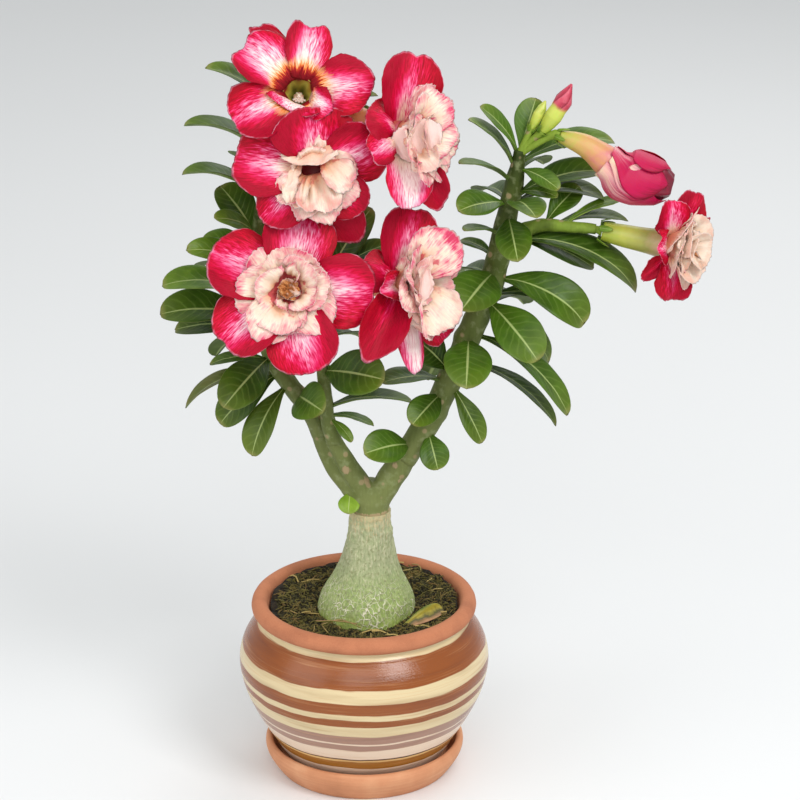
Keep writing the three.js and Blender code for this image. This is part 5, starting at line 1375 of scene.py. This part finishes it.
def sepals(gather, flower, draw):
    """The green calyx: five pointed sepals around the foot of the tube."""
    end, before = place(flower["stalk"][-1]), place(flower["stalk"][-2])
    outward = unit(end - before)
    guide = unit(np.cross(outward, UP))
    other = np.cross(outward, guide)
    reach = flower.get("sepal", 5.5)
    foot = flower["radii"][0] if "radii" in flower else (
        flower.get("mouth", MOUTH) * flower.get("flare", TUBE_FLARE)[0])
    for k in range(5):
        angle = 2 * math.pi * (k + 0.2 * draw()) / 5
        spoke = guide * math.cos(angle) + other * math.sin(angle)
        root = end + spoke * (foot + 0.1) - outward * 1.5
        tip = end + spoke * (foot * 1.35 + 1.0) + outward * reach
        blade(gather, root, tip, -spoke, 0.42 * foot + 1.5, neck=0.8, shoulder=0.75, rise=-8, droop=-10,
              cup=0.15, thickness=0.7, cells=8, rows=10, finish=1, tone=0.72 + 0.1 * draw())


def knotted(angle, share, knots, tall):
    """A stem's uneven girth, with small swellings here and there. knots holds turn, share and swelling."""
    girth = 1 + 0.035 * np.sin(3 * angle + 9 * share) + 0.03 * np.sin(41 * share + 2 * angle)
    for turn, at, swelling in knots:
        away = 3.0 * (1 - np.cos(angle - turn)) + ((share - at) * 330 / tall) ** 2
        girth = girth + swelling * np.exp(-away)
    return girth


def shoot(name, stems, piece_name, node):
    """A leafy stem with its leaves, flower stalks and calyces."""
    gather = Gather()
    draw = draws(hash_of(name))
    for stem_name in stems:
        path, radii = STEMS[stem_name]
        line = placed_path(path)
        if stem_name != "twig":
            line[0] = line[0] - unit(line[1] - line[0]) * 1.0
        young = 0.42 if stem_name == "twig" else 0.0
        knots = [(math.pi * draw(), 0.5 + 0.5 * draw(), 0.07 + 0.04 * draw()) for _ in range(4 * len(path))]
        tube(gather, line, radii, sides=40, rings=14 * len(path), tone=young,
             shape=lambda angle, share: knotted(angle, share, knots, 60.0 / len(path)))
        for row in LEAVES[stem_name]:
            leaf(gather, row, (path, radii), draw, 1, 2)
    flowers = [flower for flower in [*BLOOMS.values(), *BUDS.values()] if flower["stem"] in stems]
    for flower in flowers:
        girths = [1.7, 1.6, 1.6, flower["radii"][0]] if "radii" in flower else [1.9, 1.8, 1.9, 2.9]
        tube(gather, placed_path(flower["stalk"]), girths, sides=18, rings=18, tone=0.6)
        sepals(gather, flower, draw)
    return as_piece(piece_name, gather, ["stem", "leaf", "underside"], [node])


GRAFT_HEIGHT, GRAFT_OFFSET = 141.5, 3.5  # mm: the graft line above the table, and its middle's shift in X

# Scars of shed leaves on the fork: across, up, front, radius.
SCARS = [(-42, -15, 4, 2.2), (-27, -35, 9, 2.4), (-3, -33, 7, 2.2), (1, -41.5, 7, 2.6), (-15, -40, 8, 3.5)]


def grown_together(gather, name, voxel, smoothing):
    """The gathered shells remeshed into one smooth skin."""
    piece = bare(name, np.concatenate(gather.points), gather.faces)
    remesh = piece.modifiers.new("skin", "REMESH")
    remesh.mode, remesh.voxel_size = "VOXEL", voxel * MM
    relax = piece.modifiers.new("relax", "SMOOTH")
    relax.factor, relax.iterations = 0.5, smoothing
    return baked(piece)


def baked(piece):
    """Turns a piece's live modifiers into a plain mesh."""
    graph = bpy.context.evaluated_depsgraph_get()
    mesh = bpy.data.meshes.new_from_object(piece.evaluated_get(graph))
    piece.modifiers.clear()
    old, piece.data = piece.data, mesh
    if old.users == 0:
        bpy.data.meshes.remove(old)
    return piece


def fork():
    """The scion's bare fork, grown together over the graft, with its scars and one young leaf."""
    gather = Gather()
    above = lambda rise: np.array([GRAFT_OFFSET, 0, GRAFT_HEIGHT + rise])
    knobs = lambda angle, share: (
        1 + 0.03 * np.sin(2 * angle + 7 * share) + 0.03 * np.sin(17 * share + angle))
    tube(gather, [above(-1), above(5), above(9), above(15)], [9.6, 10.2, 10, 7], sides=40, rings=20,
         shape=knobs)
    for path, radii in LIMBS:
        tube(gather, placed_path(path), radii, sides=32, rings=40, shape=knobs)
    piece = grown_together(gather, "fork_bark", 0.8, 6)
    points = np.zeros(len(piece.data.vertices) * 3, np.float32)
    piece.data.vertices.foreach_get("co", points)
    points = points.reshape(-1, 3) / MM
    worn = np.zeros(len(points))
    for across, up, front, radius in SCARS:
        away = np.linalg.norm(points - place((across, up, front)), axis=1)
        worn = np.maximum(worn, np.exp(-(away / radius) ** 2))
    ring = np.exp(-((points[:, 2] - GRAFT_HEIGHT - 0.5) / 1.6) ** 2)
    mark(piece, "warm", np.maximum(worn, 0.6 * ring))
    mark(piece, "tone", np.zeros(len(points)))
    piece.data.materials.append(finish_of("stem"))
    finished(piece, ["fork"])
    sprig = Gather()
    leaf(sprig, FORK_LEAF, LIMBS[0], draws(3), 0, 1)
    as_piece("fork_leaf", sprig, ["leaf", "underside"], [])


# Radius and height in mm, from the soil up to the graft.
CAUDEX_PROFILE = [
    (22.8, 77), (24, 84), (24.3, 88.5), (23.3, 94), (20.6, 99.5), (17.5, 105), (15.2, 111),
    (13.4, 117), (11.9, 124), (10.8, 131), (10.3, 137), (10.5, 141.5),
]


def caudex():
    """The swollen rootstock, lumpy below and smoother towards the graft."""
    gather = Gather()
    rings, sides = 150, 120
    path = smooth_path([(r, 0, z) for r, z in [(19, 69), *CAUDEX_PROFILE]], rings)
    angle = np.linspace(0, 2 * math.pi, sides, endpoint=False)[None, :]
    radius, height = path[:, 0][:, None], path[:, 2][:, None]
    # How far down from the graft, where the skin is even, to the soil, where it is lumpiest.
    share = np.clip((GRAFT_HEIGHT - height) / 57.5, 0, 1)
    lumps = share * (0.8 * np.sin(2 * angle + 1.1) + 0.6 * np.sin(3 * angle + 0.4 + height / 17))
    lumps = lumps + 0.25 * np.sin(5 * angle + height / 6) + 0.18 * np.sin(9 * angle - height / 4)
    # One knob 131 mm up, and a fine crust that is thickest just under the graft.
    lumps = lumps + np.exp(-((height - 131) / 3.0) ** 2) * np.exp(-((angle - 5.9) / 0.35) ** 2)
    crust = np.sin(11 * angle + 2 * np.sin(height / 2.1)) * np.sin(height / 1.1 + 3 * np.sin(4 * angle))
    lumps = lumps + 0.22 * crust * (0.5 + np.exp(-((height - 133) / 7) ** 2))
    reach = radius + lumps
    axis = 1.2 + (GRAFT_OFFSET - 1.2) * (1 - share)
    points = [axis + reach * np.cos(angle), reach * np.sin(angle), height + 0 * angle]
    points = np.stack(points, -1).reshape(-1, 3)
    uvs = np.zeros((len(points), 2))
    faces = [quad for j in range(rings - 1) for quad in between(j * sides, (j + 1) * sides, sides)]
    faces += [tuple(range(sides - 1, -1, -1)), tuple(range((rings - 1) * sides, rings * sides))]
    gather.take(points, uvs, faces, 0)
    return as_piece("caudex_trunk", gather, ["caudex"], ["caudex"])


# ------------------------------------------------------------------ turned pot and saucer

# Profiles are rows of radius and height in mm.
SAUCER_PROFILE = [
    (0.01, 0), (30, 0), (43.5, 0), (45.2, 0.6), (46.6, 2.4), (49, 6), (50.8, 9.5), (51.4, 12.2),
    (51.1, 14.6), (50, 16.1), (48.8, 16.2), (47.8, 14.8), (46.8, 11), (45.6, 8), (44, 5), (42.5, 4),
    (30, 4), (0.01, 4),
]
POT_PROFILE = [
    (5, 4.3), (20, 4.3), (37, 4.3), (38.2, 4.8), (40.5, 7.6), (43.5, 12), (48.8, 21), (55.8, 33),
    (61.3, 45), (64.0, 57), (63.7, 65), (61.1, 72.5), (56.8, 79), (53.2, 82.9), (52.6, 84.2), (53.6, 85.2),
    (56, 86.3), (57.4, 88.2), (57.6, 90), (56.9, 92.2), (55.2, 93.7), (53, 94.1), (50.9, 93.4),
    (49.8, 91.6), (49, 88), (48.3, 84), (55.4, 75.4), (57.6, 60), (43.6, 25), (31, 12), (5, 12), (5, 8),
]


def started_group(name, *inputs):
    """A new tree of geometry nodes with its named inputs, and a way to add nodes to it."""
    tree = bpy.data.node_groups.new(name, "GeometryNodeTree")
    for label, default in (("Geometry", None), *inputs):
        kind = {int: "Int", float: "Float"}.get(type(default), label)
        socket = tree.interface.new_socket(label, in_out="INPUT", socket_type=f"NodeSocket{kind}")
        if default is not None:
            socket.default_value = default
    tree.interface.new_socket("Geometry", in_out="OUTPUT", socket_type="NodeSocketGeometry")
    node = partial(add, tree)
    return tree, node, node("NodeGroupInput").outputs


def done_group(tree, geometry, finish):
    """Ends a tree of geometry nodes with a plain mesh in its finish."""
    real = add(tree, "GeometryNodeRealizeInstances", geometry)
    painted = add(tree, "GeometryNodeSetMaterial", {"Geometry": real, "Material": finish})
    add(tree, "NodeGroupOutput", painted)
    return tree


def turning_tree():
    """Geometry nodes that turn a profile, given as a line of edges, about the Z axis."""
    tree, node, given = started_group(
        "turned_on_a_wheel", ("Segments", 160), ("Rings", 160), ("Material", None))
    line = node("GeometryNodeMeshToCurve", given["Geometry"])
    line = node("GeometryNodeCurveSplineType", line, spline_type="CATMULL_ROM")
    sheet = node("GeometryNodeMeshGrid", 1, 1, given["Segments"], given["Rings"])
    spot = node("SeparateXYZ", node("GeometryNodeInputPosition"))
    along = {"Curves": line, "Factor": node("+", spot.outputs[1], 0.5)}
    taken = node("GeometryNodeSampleCurve", along, mode="FACTOR", use_all_curves=True)
    profile = node("SeparateXYZ", taken.outputs["Position"])
    turn = node("*", spot, 2 * math.pi)
    wheel = node("CombineXYZ", node("*", profile, node("COSINE", turn)),
                 node("*", profile, node("SINE", turn)), profile.outputs[2])
    moved = node("GeometryNodeSetPosition", {"Geometry": sheet, "Position": wheel})
    closed = node("GeometryNodeMergeByDistance", {"Geometry": moved, "Distance": 0.03 * MM})
    return done_group(tree, closed, given["Material"])


def with_nodes(piece, tree, values):
    """Puts a node tree on a piece with its inputs set, and bakes the result."""
    modifier = piece.modifiers.new(tree.name, "NODES")
    modifier.node_group = tree
    for item in tree.interface.items_tree:
        if item.in_out == "INPUT" and item.name in values:
            modifier[item.identifier] = values[item.name]
    return baked(piece)


def turned(name, profile, closed, segments, rings, finish):
    """A piece turned on the wheel from its profile."""
    count = len(profile)
    edges = [(k, k + 1) for k in range(count - 1)] + ([(count - 1, 0)] if closed else [])
    piece = bare(name, [(radius, 0, height) for radius, height in profile], [], edges)
    tree = bpy.data.node_groups.get("turned_on_a_wheel") or turning_tree()
    return with_nodes(piece, tree, {"Segments": segments, "Rings": rings, "Material": finish_of(finish)})


# ------------------------------------------------------------------ soil

SOIL_EDGE, SOIL_LEVEL = 47.9, 85.6  # mm


def soil_height(x, y):
    """Height of the soil in mm: banked up against the rim and at the back, and lumpy."""
    bank = 3.4 * (x * x + y * y) / 47.6 ** 2
    slope = 2.6 * np.tanh((y + 5) / 15)
    broad = np.sin(0.31 * x + 1.3) * np.sin(0.27 * y + 0.4)
    fine = 0.6 * np.sin(0.53 * x - 0.47 * y)
    crumbs = 0.45 * np.sin(1.1 * x + 2 * np.sin(0.7 * y)) * np.sin(1.3 * y + 1.7 * np.sin(0.5 * x))
    return SOIL_LEVEL + bank + slope + 0.9 * (broad + fine) + crumbs


def soil_block():
    """The peat itself, a ring that fills the pot around the trunk."""
    gather = Gather()
    sides, rings = 120, 60
    angle = np.linspace(0, 2 * math.pi, sides, endpoint=False)
    points, faces = [], []
    for radius in np.linspace(14, SOIL_EDGE, rings):
        x, y = radius * np.cos(angle), radius * np.sin(angle)
        points.append(np.stack([x, y, soil_height(x, y)], 1))
    for radius, height in ((SOIL_EDGE, 83.0), (46, 70.0), (14, 70.0)):
        points.append(np.stack([radius * np.cos(angle), radius * np.sin(angle), np.full(sides, height)], 1))
    count = len(points)
    for j in range(count):
        faces += between(j * sides, (j + 1) % count * sides, sides, inward=True)
    points = np.concatenate(points)
    gather.take(points, np.zeros((len(points), 2)), faces, 0)
    return as_piece("soil_peat", gather, ["peat"], ["soil"])


def strewing_tree():
    """Geometry nodes that strew bent fibres over the soil and give each its own shade."""
    tree, node, given = started_group(
        "strewn_fibres", ("Per Square Metre", 500000.0), ("Length", 4 * MM), ("Thickness", 0.3 * MM),
        ("Lowest Shade", 0.0), ("Highest Shade", 1.0), ("Upright", 0.3), ("Seed", 4), ("Material", None))
    seed, upright, reach = given["Seed"], given["Upright"], given["Length"]
    spots = {"Mesh": given["Geometry"], "Density": given["Per Square Metre"], "Seed": seed}
    spots = node("GeometryNodeDistributePointsOnFaces", spots, distribute_method="RANDOM")
    arc = node("GeometryNodeCurveQuadraticBezier", 3, (-0.5, 0, 0), (0, 0.28, 0.22), (0.5, 0, 0))
    section = {"Resolution": 3, "Radius": node("/", given["Thickness"], reach)}
    section = node("GeometryNodeCurvePrimitiveCircle", section, mode="RADIUS")
    strand = node("GeometryNodeCurveToMesh", {"Curve": arc, "Profile Curve": section, "Fill Caps": True})
    tilt = node("FunctionNodeRandomValue FLOAT_VECTOR", {0: (-1, -1, -3.14), 1: (1, 1, 3.14), "Seed": seed})
    lean = node("VectorMath MULTIPLY", tilt, node("CombineXYZ", upright, upright, 1))
    size = node("*", node("FunctionNodeRandomValue FLOAT", {0: 0.45, 1: 1.35, "Seed": seed}), reach)
    strewn = node("GeometryNodeInstanceOnPoints", {
        "Points": spots, "Instance": strand, "Scale": size, "Rotation": lean})
    shade = node("FunctionNodeRandomValue FLOAT", {
        0: given["Lowest Shade"], 1: given["Highest Shade"], "Seed": seed})
    marked = node("GeometryNodeStoreNamedAttribute", {"Geometry": strewn, "Name": "shade", "Value": shade},
                  data_type="FLOAT", domain="INSTANCE")
    return done_group(tree, marked, given["Material"])


def fibres(name, density, length, shades, upright, seed):
    """One kind of fibre, 0.32 mm thick, over the whole soil. Its length is in metres."""
    sides, rings = 64, 18
    angle = np.linspace(0, 2 * math.pi, sides, endpoint=False)
    points, faces = [], []
    for radius in np.linspace(24.5, 45.8, rings):
        x, y = 1.2 + radius * np.cos(angle), radius * np.sin(angle)
        points += np.stack([x, y, soil_height(x, y)], 1).tolist()
    for j in range(rings - 1):
        faces += between(j * sides, (j + 1) * sides, sides, inward=True)
    tree = bpy.data.node_groups.get("strewn_fibres") or strewing_tree()
    piece = with_nodes(bare(name, points, faces), tree, {
        "Per Square Metre": density, "Length": length, "Thickness": 0.32 * MM, "Lowest Shade": shades[0],
        "Highest Shade": shades[1], "Upright": upright, "Seed": seed, "Material": finish_of("moss")})
    return finished(piece, [])


def fallen_leaf():
    """The dead leaf, curled up on the soil in front."""
    gather = Gather()
    blade(gather, (20.5, -20.5, 85.4), (40.5, -6, 89.2), np.array([0.5, -0.8, 0.9]), 8, neck=0.3,
          rise=28, droop=30, fold=0.35, cup=0.12, wave=0.6, frill=0.3, furrow=0.2, thickness=0.7,
          cells=16, rows=20, finish=0, back=0, phase=1.0)
    return as_piece("fallen_leaf_dry", gather, ["dry_leaf"], ["fallen_leaf"])


def loose_straws():
    """Two long straws that lie across the moss in front of the trunk."""
    gather = Gather()
    for line, radius in (([(-24, -25, 90.5), (-14, -29, 92.5), (-3, -28, 90.5)], 0.4),
                         ([(-21, -28, 90), (-12, -27, 92.2), (-1, -31.5, 90)], 0.35)):
        tube(gather, line, [radius, radius, radius * 0.6], sides=8, rings=16)
    return as_piece("soil_long_straws", gather, ["dry_leaf"], [])


# ------------------------------------------------------------------ settings


class DesertRoseStageSettings(bpy.types.PropertyGroup):
    """Floor, light and camera."""

    floor: FloatVectorProperty(
        name="Floor", description="Colour of the board", subtype="COLOR", size=4, min=0, max=1,
        default=colour("#E6E7E8"))
    key: FloatProperty(
        name="Key light", description="Power of the large soft light", default=14.5, min=0, unit="POWER")
    front: FloatProperty(
        name="Front light", description="Power of the wide front light", default=6.0, min=0, unit="POWER")
    fill: FloatProperty(
        name="Fill light", description="Power of the fill light", default=5.0, min=0, unit="POWER")
    lens: FloatProperty(name="Lens", description="Focal length", default=135.0, min=1, unit="CAMERA")


class DesertRosePotSettings(bpy.types.PropertyGroup):
    """How finely the pot and the saucer are turned."""

    segments: IntProperty(name="Segments", description="Steps around the wheel", default=180, min=12)
    rings: IntProperty(name="Rings", description="Steps along the profile", default=170, min=12)


class DesertRoseSoilSettings(bpy.types.PropertyGroup):
    """Moss and straw on the soil."""

    moss_density: IntProperty(
        name="Moss strands", description="Strands on each square metre of soil", default=1700000, min=0)
    moss_length: FloatProperty(
        name="Moss length", description="Length of a usual strand", default=3.8 * MM, min=0, unit="LENGTH")
    straw_density: IntProperty(
        name="Straws", description="Straws on each square metre of soil", default=16000, min=0)
    straw_length: FloatProperty(
        name="Straw length", description="Length of a usual straw", default=9.5 * MM, min=0, unit="LENGTH")


class DesertRoseColours(bpy.types.PropertyGroup):
    """The main colours of the plant and its pot. The names are those of the palette."""

    __annotations__ = {
        name: FloatVectorProperty(
            name=label, description=about, subtype="COLOR", size=4, min=0, max=1, default=colour(name))
        for name, label, about in (
            ("crimson", "Outer petals", "The crimson along the edges of the outer petals"),
            ("heart", "Inner petals", "The cream of the inner petals"),
            ("leaf", "Leaves", "The green of the full-grown leaves"),
            ("stem", "Stems", "The green of the leafy stems"),
            ("caudex", "Trunk", "The grey-green of the swollen trunk"),
            ("brown", "Brown bands", "The brown paint on the pot"),
            ("cream_paint", "Cream bands", "The cream paint on the pot"),
            ("mauve", "Mauve bands", "The mauve paint on the pot"),
            ("clay", "Bare rim", "The fired clay of the pot's rim"),
            ("saucer", "Saucer", "The fired clay of the saucer"),
        )
    }


# ------------------------------------------------------------------ operators


FLOOR_REACH = 9000  # mm from the middle, so that the board's edge stays out of sight
CORNERS = ((-1, -1), (1, -1), (1, 1), (-1, 1))
LIT_MIDDLE = Vector((0.02, 0, 0.2))  # metres: the middle of the plant, which every light looks at


class DESERTROSE_OT_stage(bpy.types.Operator):
    """Makes the floor, the soft lights and the camera"""

    bl_idname = "desertrose.stage"
    bl_label = "Stage"

    def execute(self, context):
        scene = context.scene
        settings = scene.desert_rose_stage
        scene.view_settings.view_transform = "Standard"
        world = bpy.data.worlds.new("studio")
        world.use_nodes = True
        sky = world.node_tree.nodes["Background"]
        sky.inputs["Color"].default_value, sky.inputs["Strength"].default_value = colour("#F0F2F2"), 0.7
        scene.world = world
        floor = bare("floor", [(x * FLOOR_REACH, y * FLOOR_REACH, 0) for x, y in CORNERS], [(0, 1, 2, 3)])
        floor.data.materials.append(plain_floor(tuple(settings.floor)))
        # Each light's power, its width and where it hangs, in metres.
        for name, power, size, spot in (
                ("key", settings.key, 0.7, (0.75, -0.95, 1.35)),
                ("front", settings.front, 0.9, (-0.12, -1.35, 1.15)),
                ("fill", settings.fill, 1.0, (-1.1, -0.7, 0.8)),
                ("back", settings.fill, 0.9, (0.5, 1.1, 1.2))):
            light = bpy.data.lights.new(name, "AREA")
            light.energy, light.size = power, size
            lamp = bpy.data.objects.new(name, light)
            lamp.location = spot
            lamp.rotation_mode = "QUATERNION"
            lamp.rotation_quaternion = (LIT_MIDDLE - Vector(spot)).to_track_quat("-Z", "Y")
            scene.collection.objects.link(lamp)
        camera = bpy.data.cameras.new("camera")
        camera.lens, camera.sensor_width = settings.lens, 36.0
        seen = bpy.data.objects.new("camera", camera)
        seen.location = (CROWN_MIDDLE + TOWARDS * SIGHT_DISTANCE) * MM
        seen.rotation_euler = (math.pi / 2 - TILT, 0, 0)
        scene.collection.objects.link(seen)
        scene.camera = seen
        return {"FINISHED"}


class DESERTROSE_OT_saucer(bpy.types.Operator):
    """Turns the terracotta saucer"""

    bl_idname = "desertrose.saucer"
    bl_label = "Saucer"

    def execute(self, context):
        settings = context.scene.desert_rose_pot
        rings = settings.rings // 2
        piece = turned("saucer_dish", SAUCER_PROFILE, False, settings.segments, rings, "saucer")
        finished(piece, ["saucer"])
        return {"FINISHED"}


class DESERTROSE_OT_pot(bpy.types.Operator):
    """Turns the banded clay pot"""

    bl_idname = "desertrose.pot"
    bl_label = "Pot"

    def execute(self, context):
        settings = context.scene.desert_rose_pot
        piece = turned("pot_banded", POT_PROFILE, True, settings.segments, settings.rings, "pot")
        finished(piece, ["pot"])
        return {"FINISHED"}


class DESERTROSE_OT_soil(bpy.types.Operator):
    """Fills the pot with peat and strews moss and straw on it"""

    bl_idname = "desertrose.soil"
    bl_label = "Soil"

    def execute(self, context):
        settings = context.scene.desert_rose_soil
        soil_block()
        fibres("soil_moss", settings.moss_density, settings.moss_length,
               shades=(0.0, 0.8), upright=0.85, seed=4)
        fibres("soil_straw", settings.straw_density, settings.straw_length,
               shades=(0.62, 1.0), upright=0.5, seed=9)
        fallen_leaf()
        loose_straws()
        return {"FINISHED"}


class DESERTROSE_OT_trunk(bpy.types.Operator):
    """Grows the swollen trunk and the fork above the graft"""

    bl_idname = "desertrose.trunk"
    bl_label = "Trunk and fork"

    def execute(self, context):
        caudex()
        fork()
        return {"FINISHED"}


class DESERTROSE_OT_shoots(bpy.types.Operator):
    """Grows the three leafy shoots"""

    bl_idname = "desertrose.shoots"
    bl_label = "Leafy shoots"

    def execute(self, context):
        shoot("outer", ["outer"], "shoot_left_outer_leafy", "shoot_left_outer")
        shoot("inner", ["inner"], "shoot_left_inner_leafy", "shoot_left_inner")
        shoot("right", ["right", "twig"], "shoot_right_leafy", "shoot_right")
        return {"FINISHED"}


class DESERTROSE_OT_blooms(bpy.types.Operator):
    """Opens the six blooms"""

    bl_idname = "desertrose.blooms"
    bl_label = "Blooms"

    def execute(self, context):
        for name, bloom in BLOOMS.items():
            corolla(name, bloom)
            if name in HEARTS:
                heart(name, bloom)
            else:
                stamens(bloom)
        return {"FINISHED"}


class DESERTROSE_OT_buds(bpy.types.Operator):
    """Makes the three buds"""

    bl_idname = "desertrose.buds"
    bl_label = "Buds"

    def execute(self, context):
        for name, bud in BUDS.items():
            (opening_bud if "petals" in bud else furled_bud)(name, bud)
        return {"FINISHED"}


class DESERTROSE_PT_panel(bpy.types.Panel):
    """Lists the pieces of the desert rose"""

    bl_idname = "DESERTROSE_PT_panel"
    bl_label = "Potted Desert Rose"
    bl_space_type = "VIEW_3D"
    bl_region_type = "UI"
    bl_category = "Desert Rose"

    def draw(self, context):
        for operator in OPERATORS:
            self.layout.operator(operator.bl_idname)
        for group, kind in SETTINGS.items():
            for name in kind.__annotations__:
                self.layout.prop(getattr(context.scene, group), name)


OPERATORS = (
    DESERTROSE_OT_stage, DESERTROSE_OT_saucer, DESERTROSE_OT_pot, DESERTROSE_OT_soil, DESERTROSE_OT_trunk,
    DESERTROSE_OT_shoots, DESERTROSE_OT_blooms, DESERTROSE_OT_buds,
)
SETTINGS = {
    "desert_rose_stage": DesertRoseStageSettings,
    "desert_rose_pot": DesertRosePotSettings,
    "desert_rose_soil": DesertRoseSoilSettings,
    "desert_rose_colours": DesertRoseColours,
}


def register():
    for kind in (*SETTINGS.values(), *OPERATORS, DESERTROSE_PT_panel):
        bpy.utils.register_class(kind)
    for name, kind in SETTINGS.items():
        setattr(bpy.types.Scene, name, PointerProperty(type=kind))


def unregister():
    for name in SETTINGS:
        delattr(bpy.types.Scene, name)
    for kind in reversed((*SETTINGS.values(), *OPERATORS, DESERTROSE_PT_panel)):
        bpy.utils.unregister_class(kind)


def main():
    register()
    bpy.ops.desertrose.stage()
    bpy.ops.desertrose.saucer()
    bpy.ops.desertrose.pot()
    bpy.ops.desertrose.soil()
    bpy.ops.desertrose.trunk()
    bpy.ops.desertrose.shoots()
    bpy.ops.desertrose.blooms()
    bpy.ops.desertrose.buds()


if __name__ == "__main__":
    main()
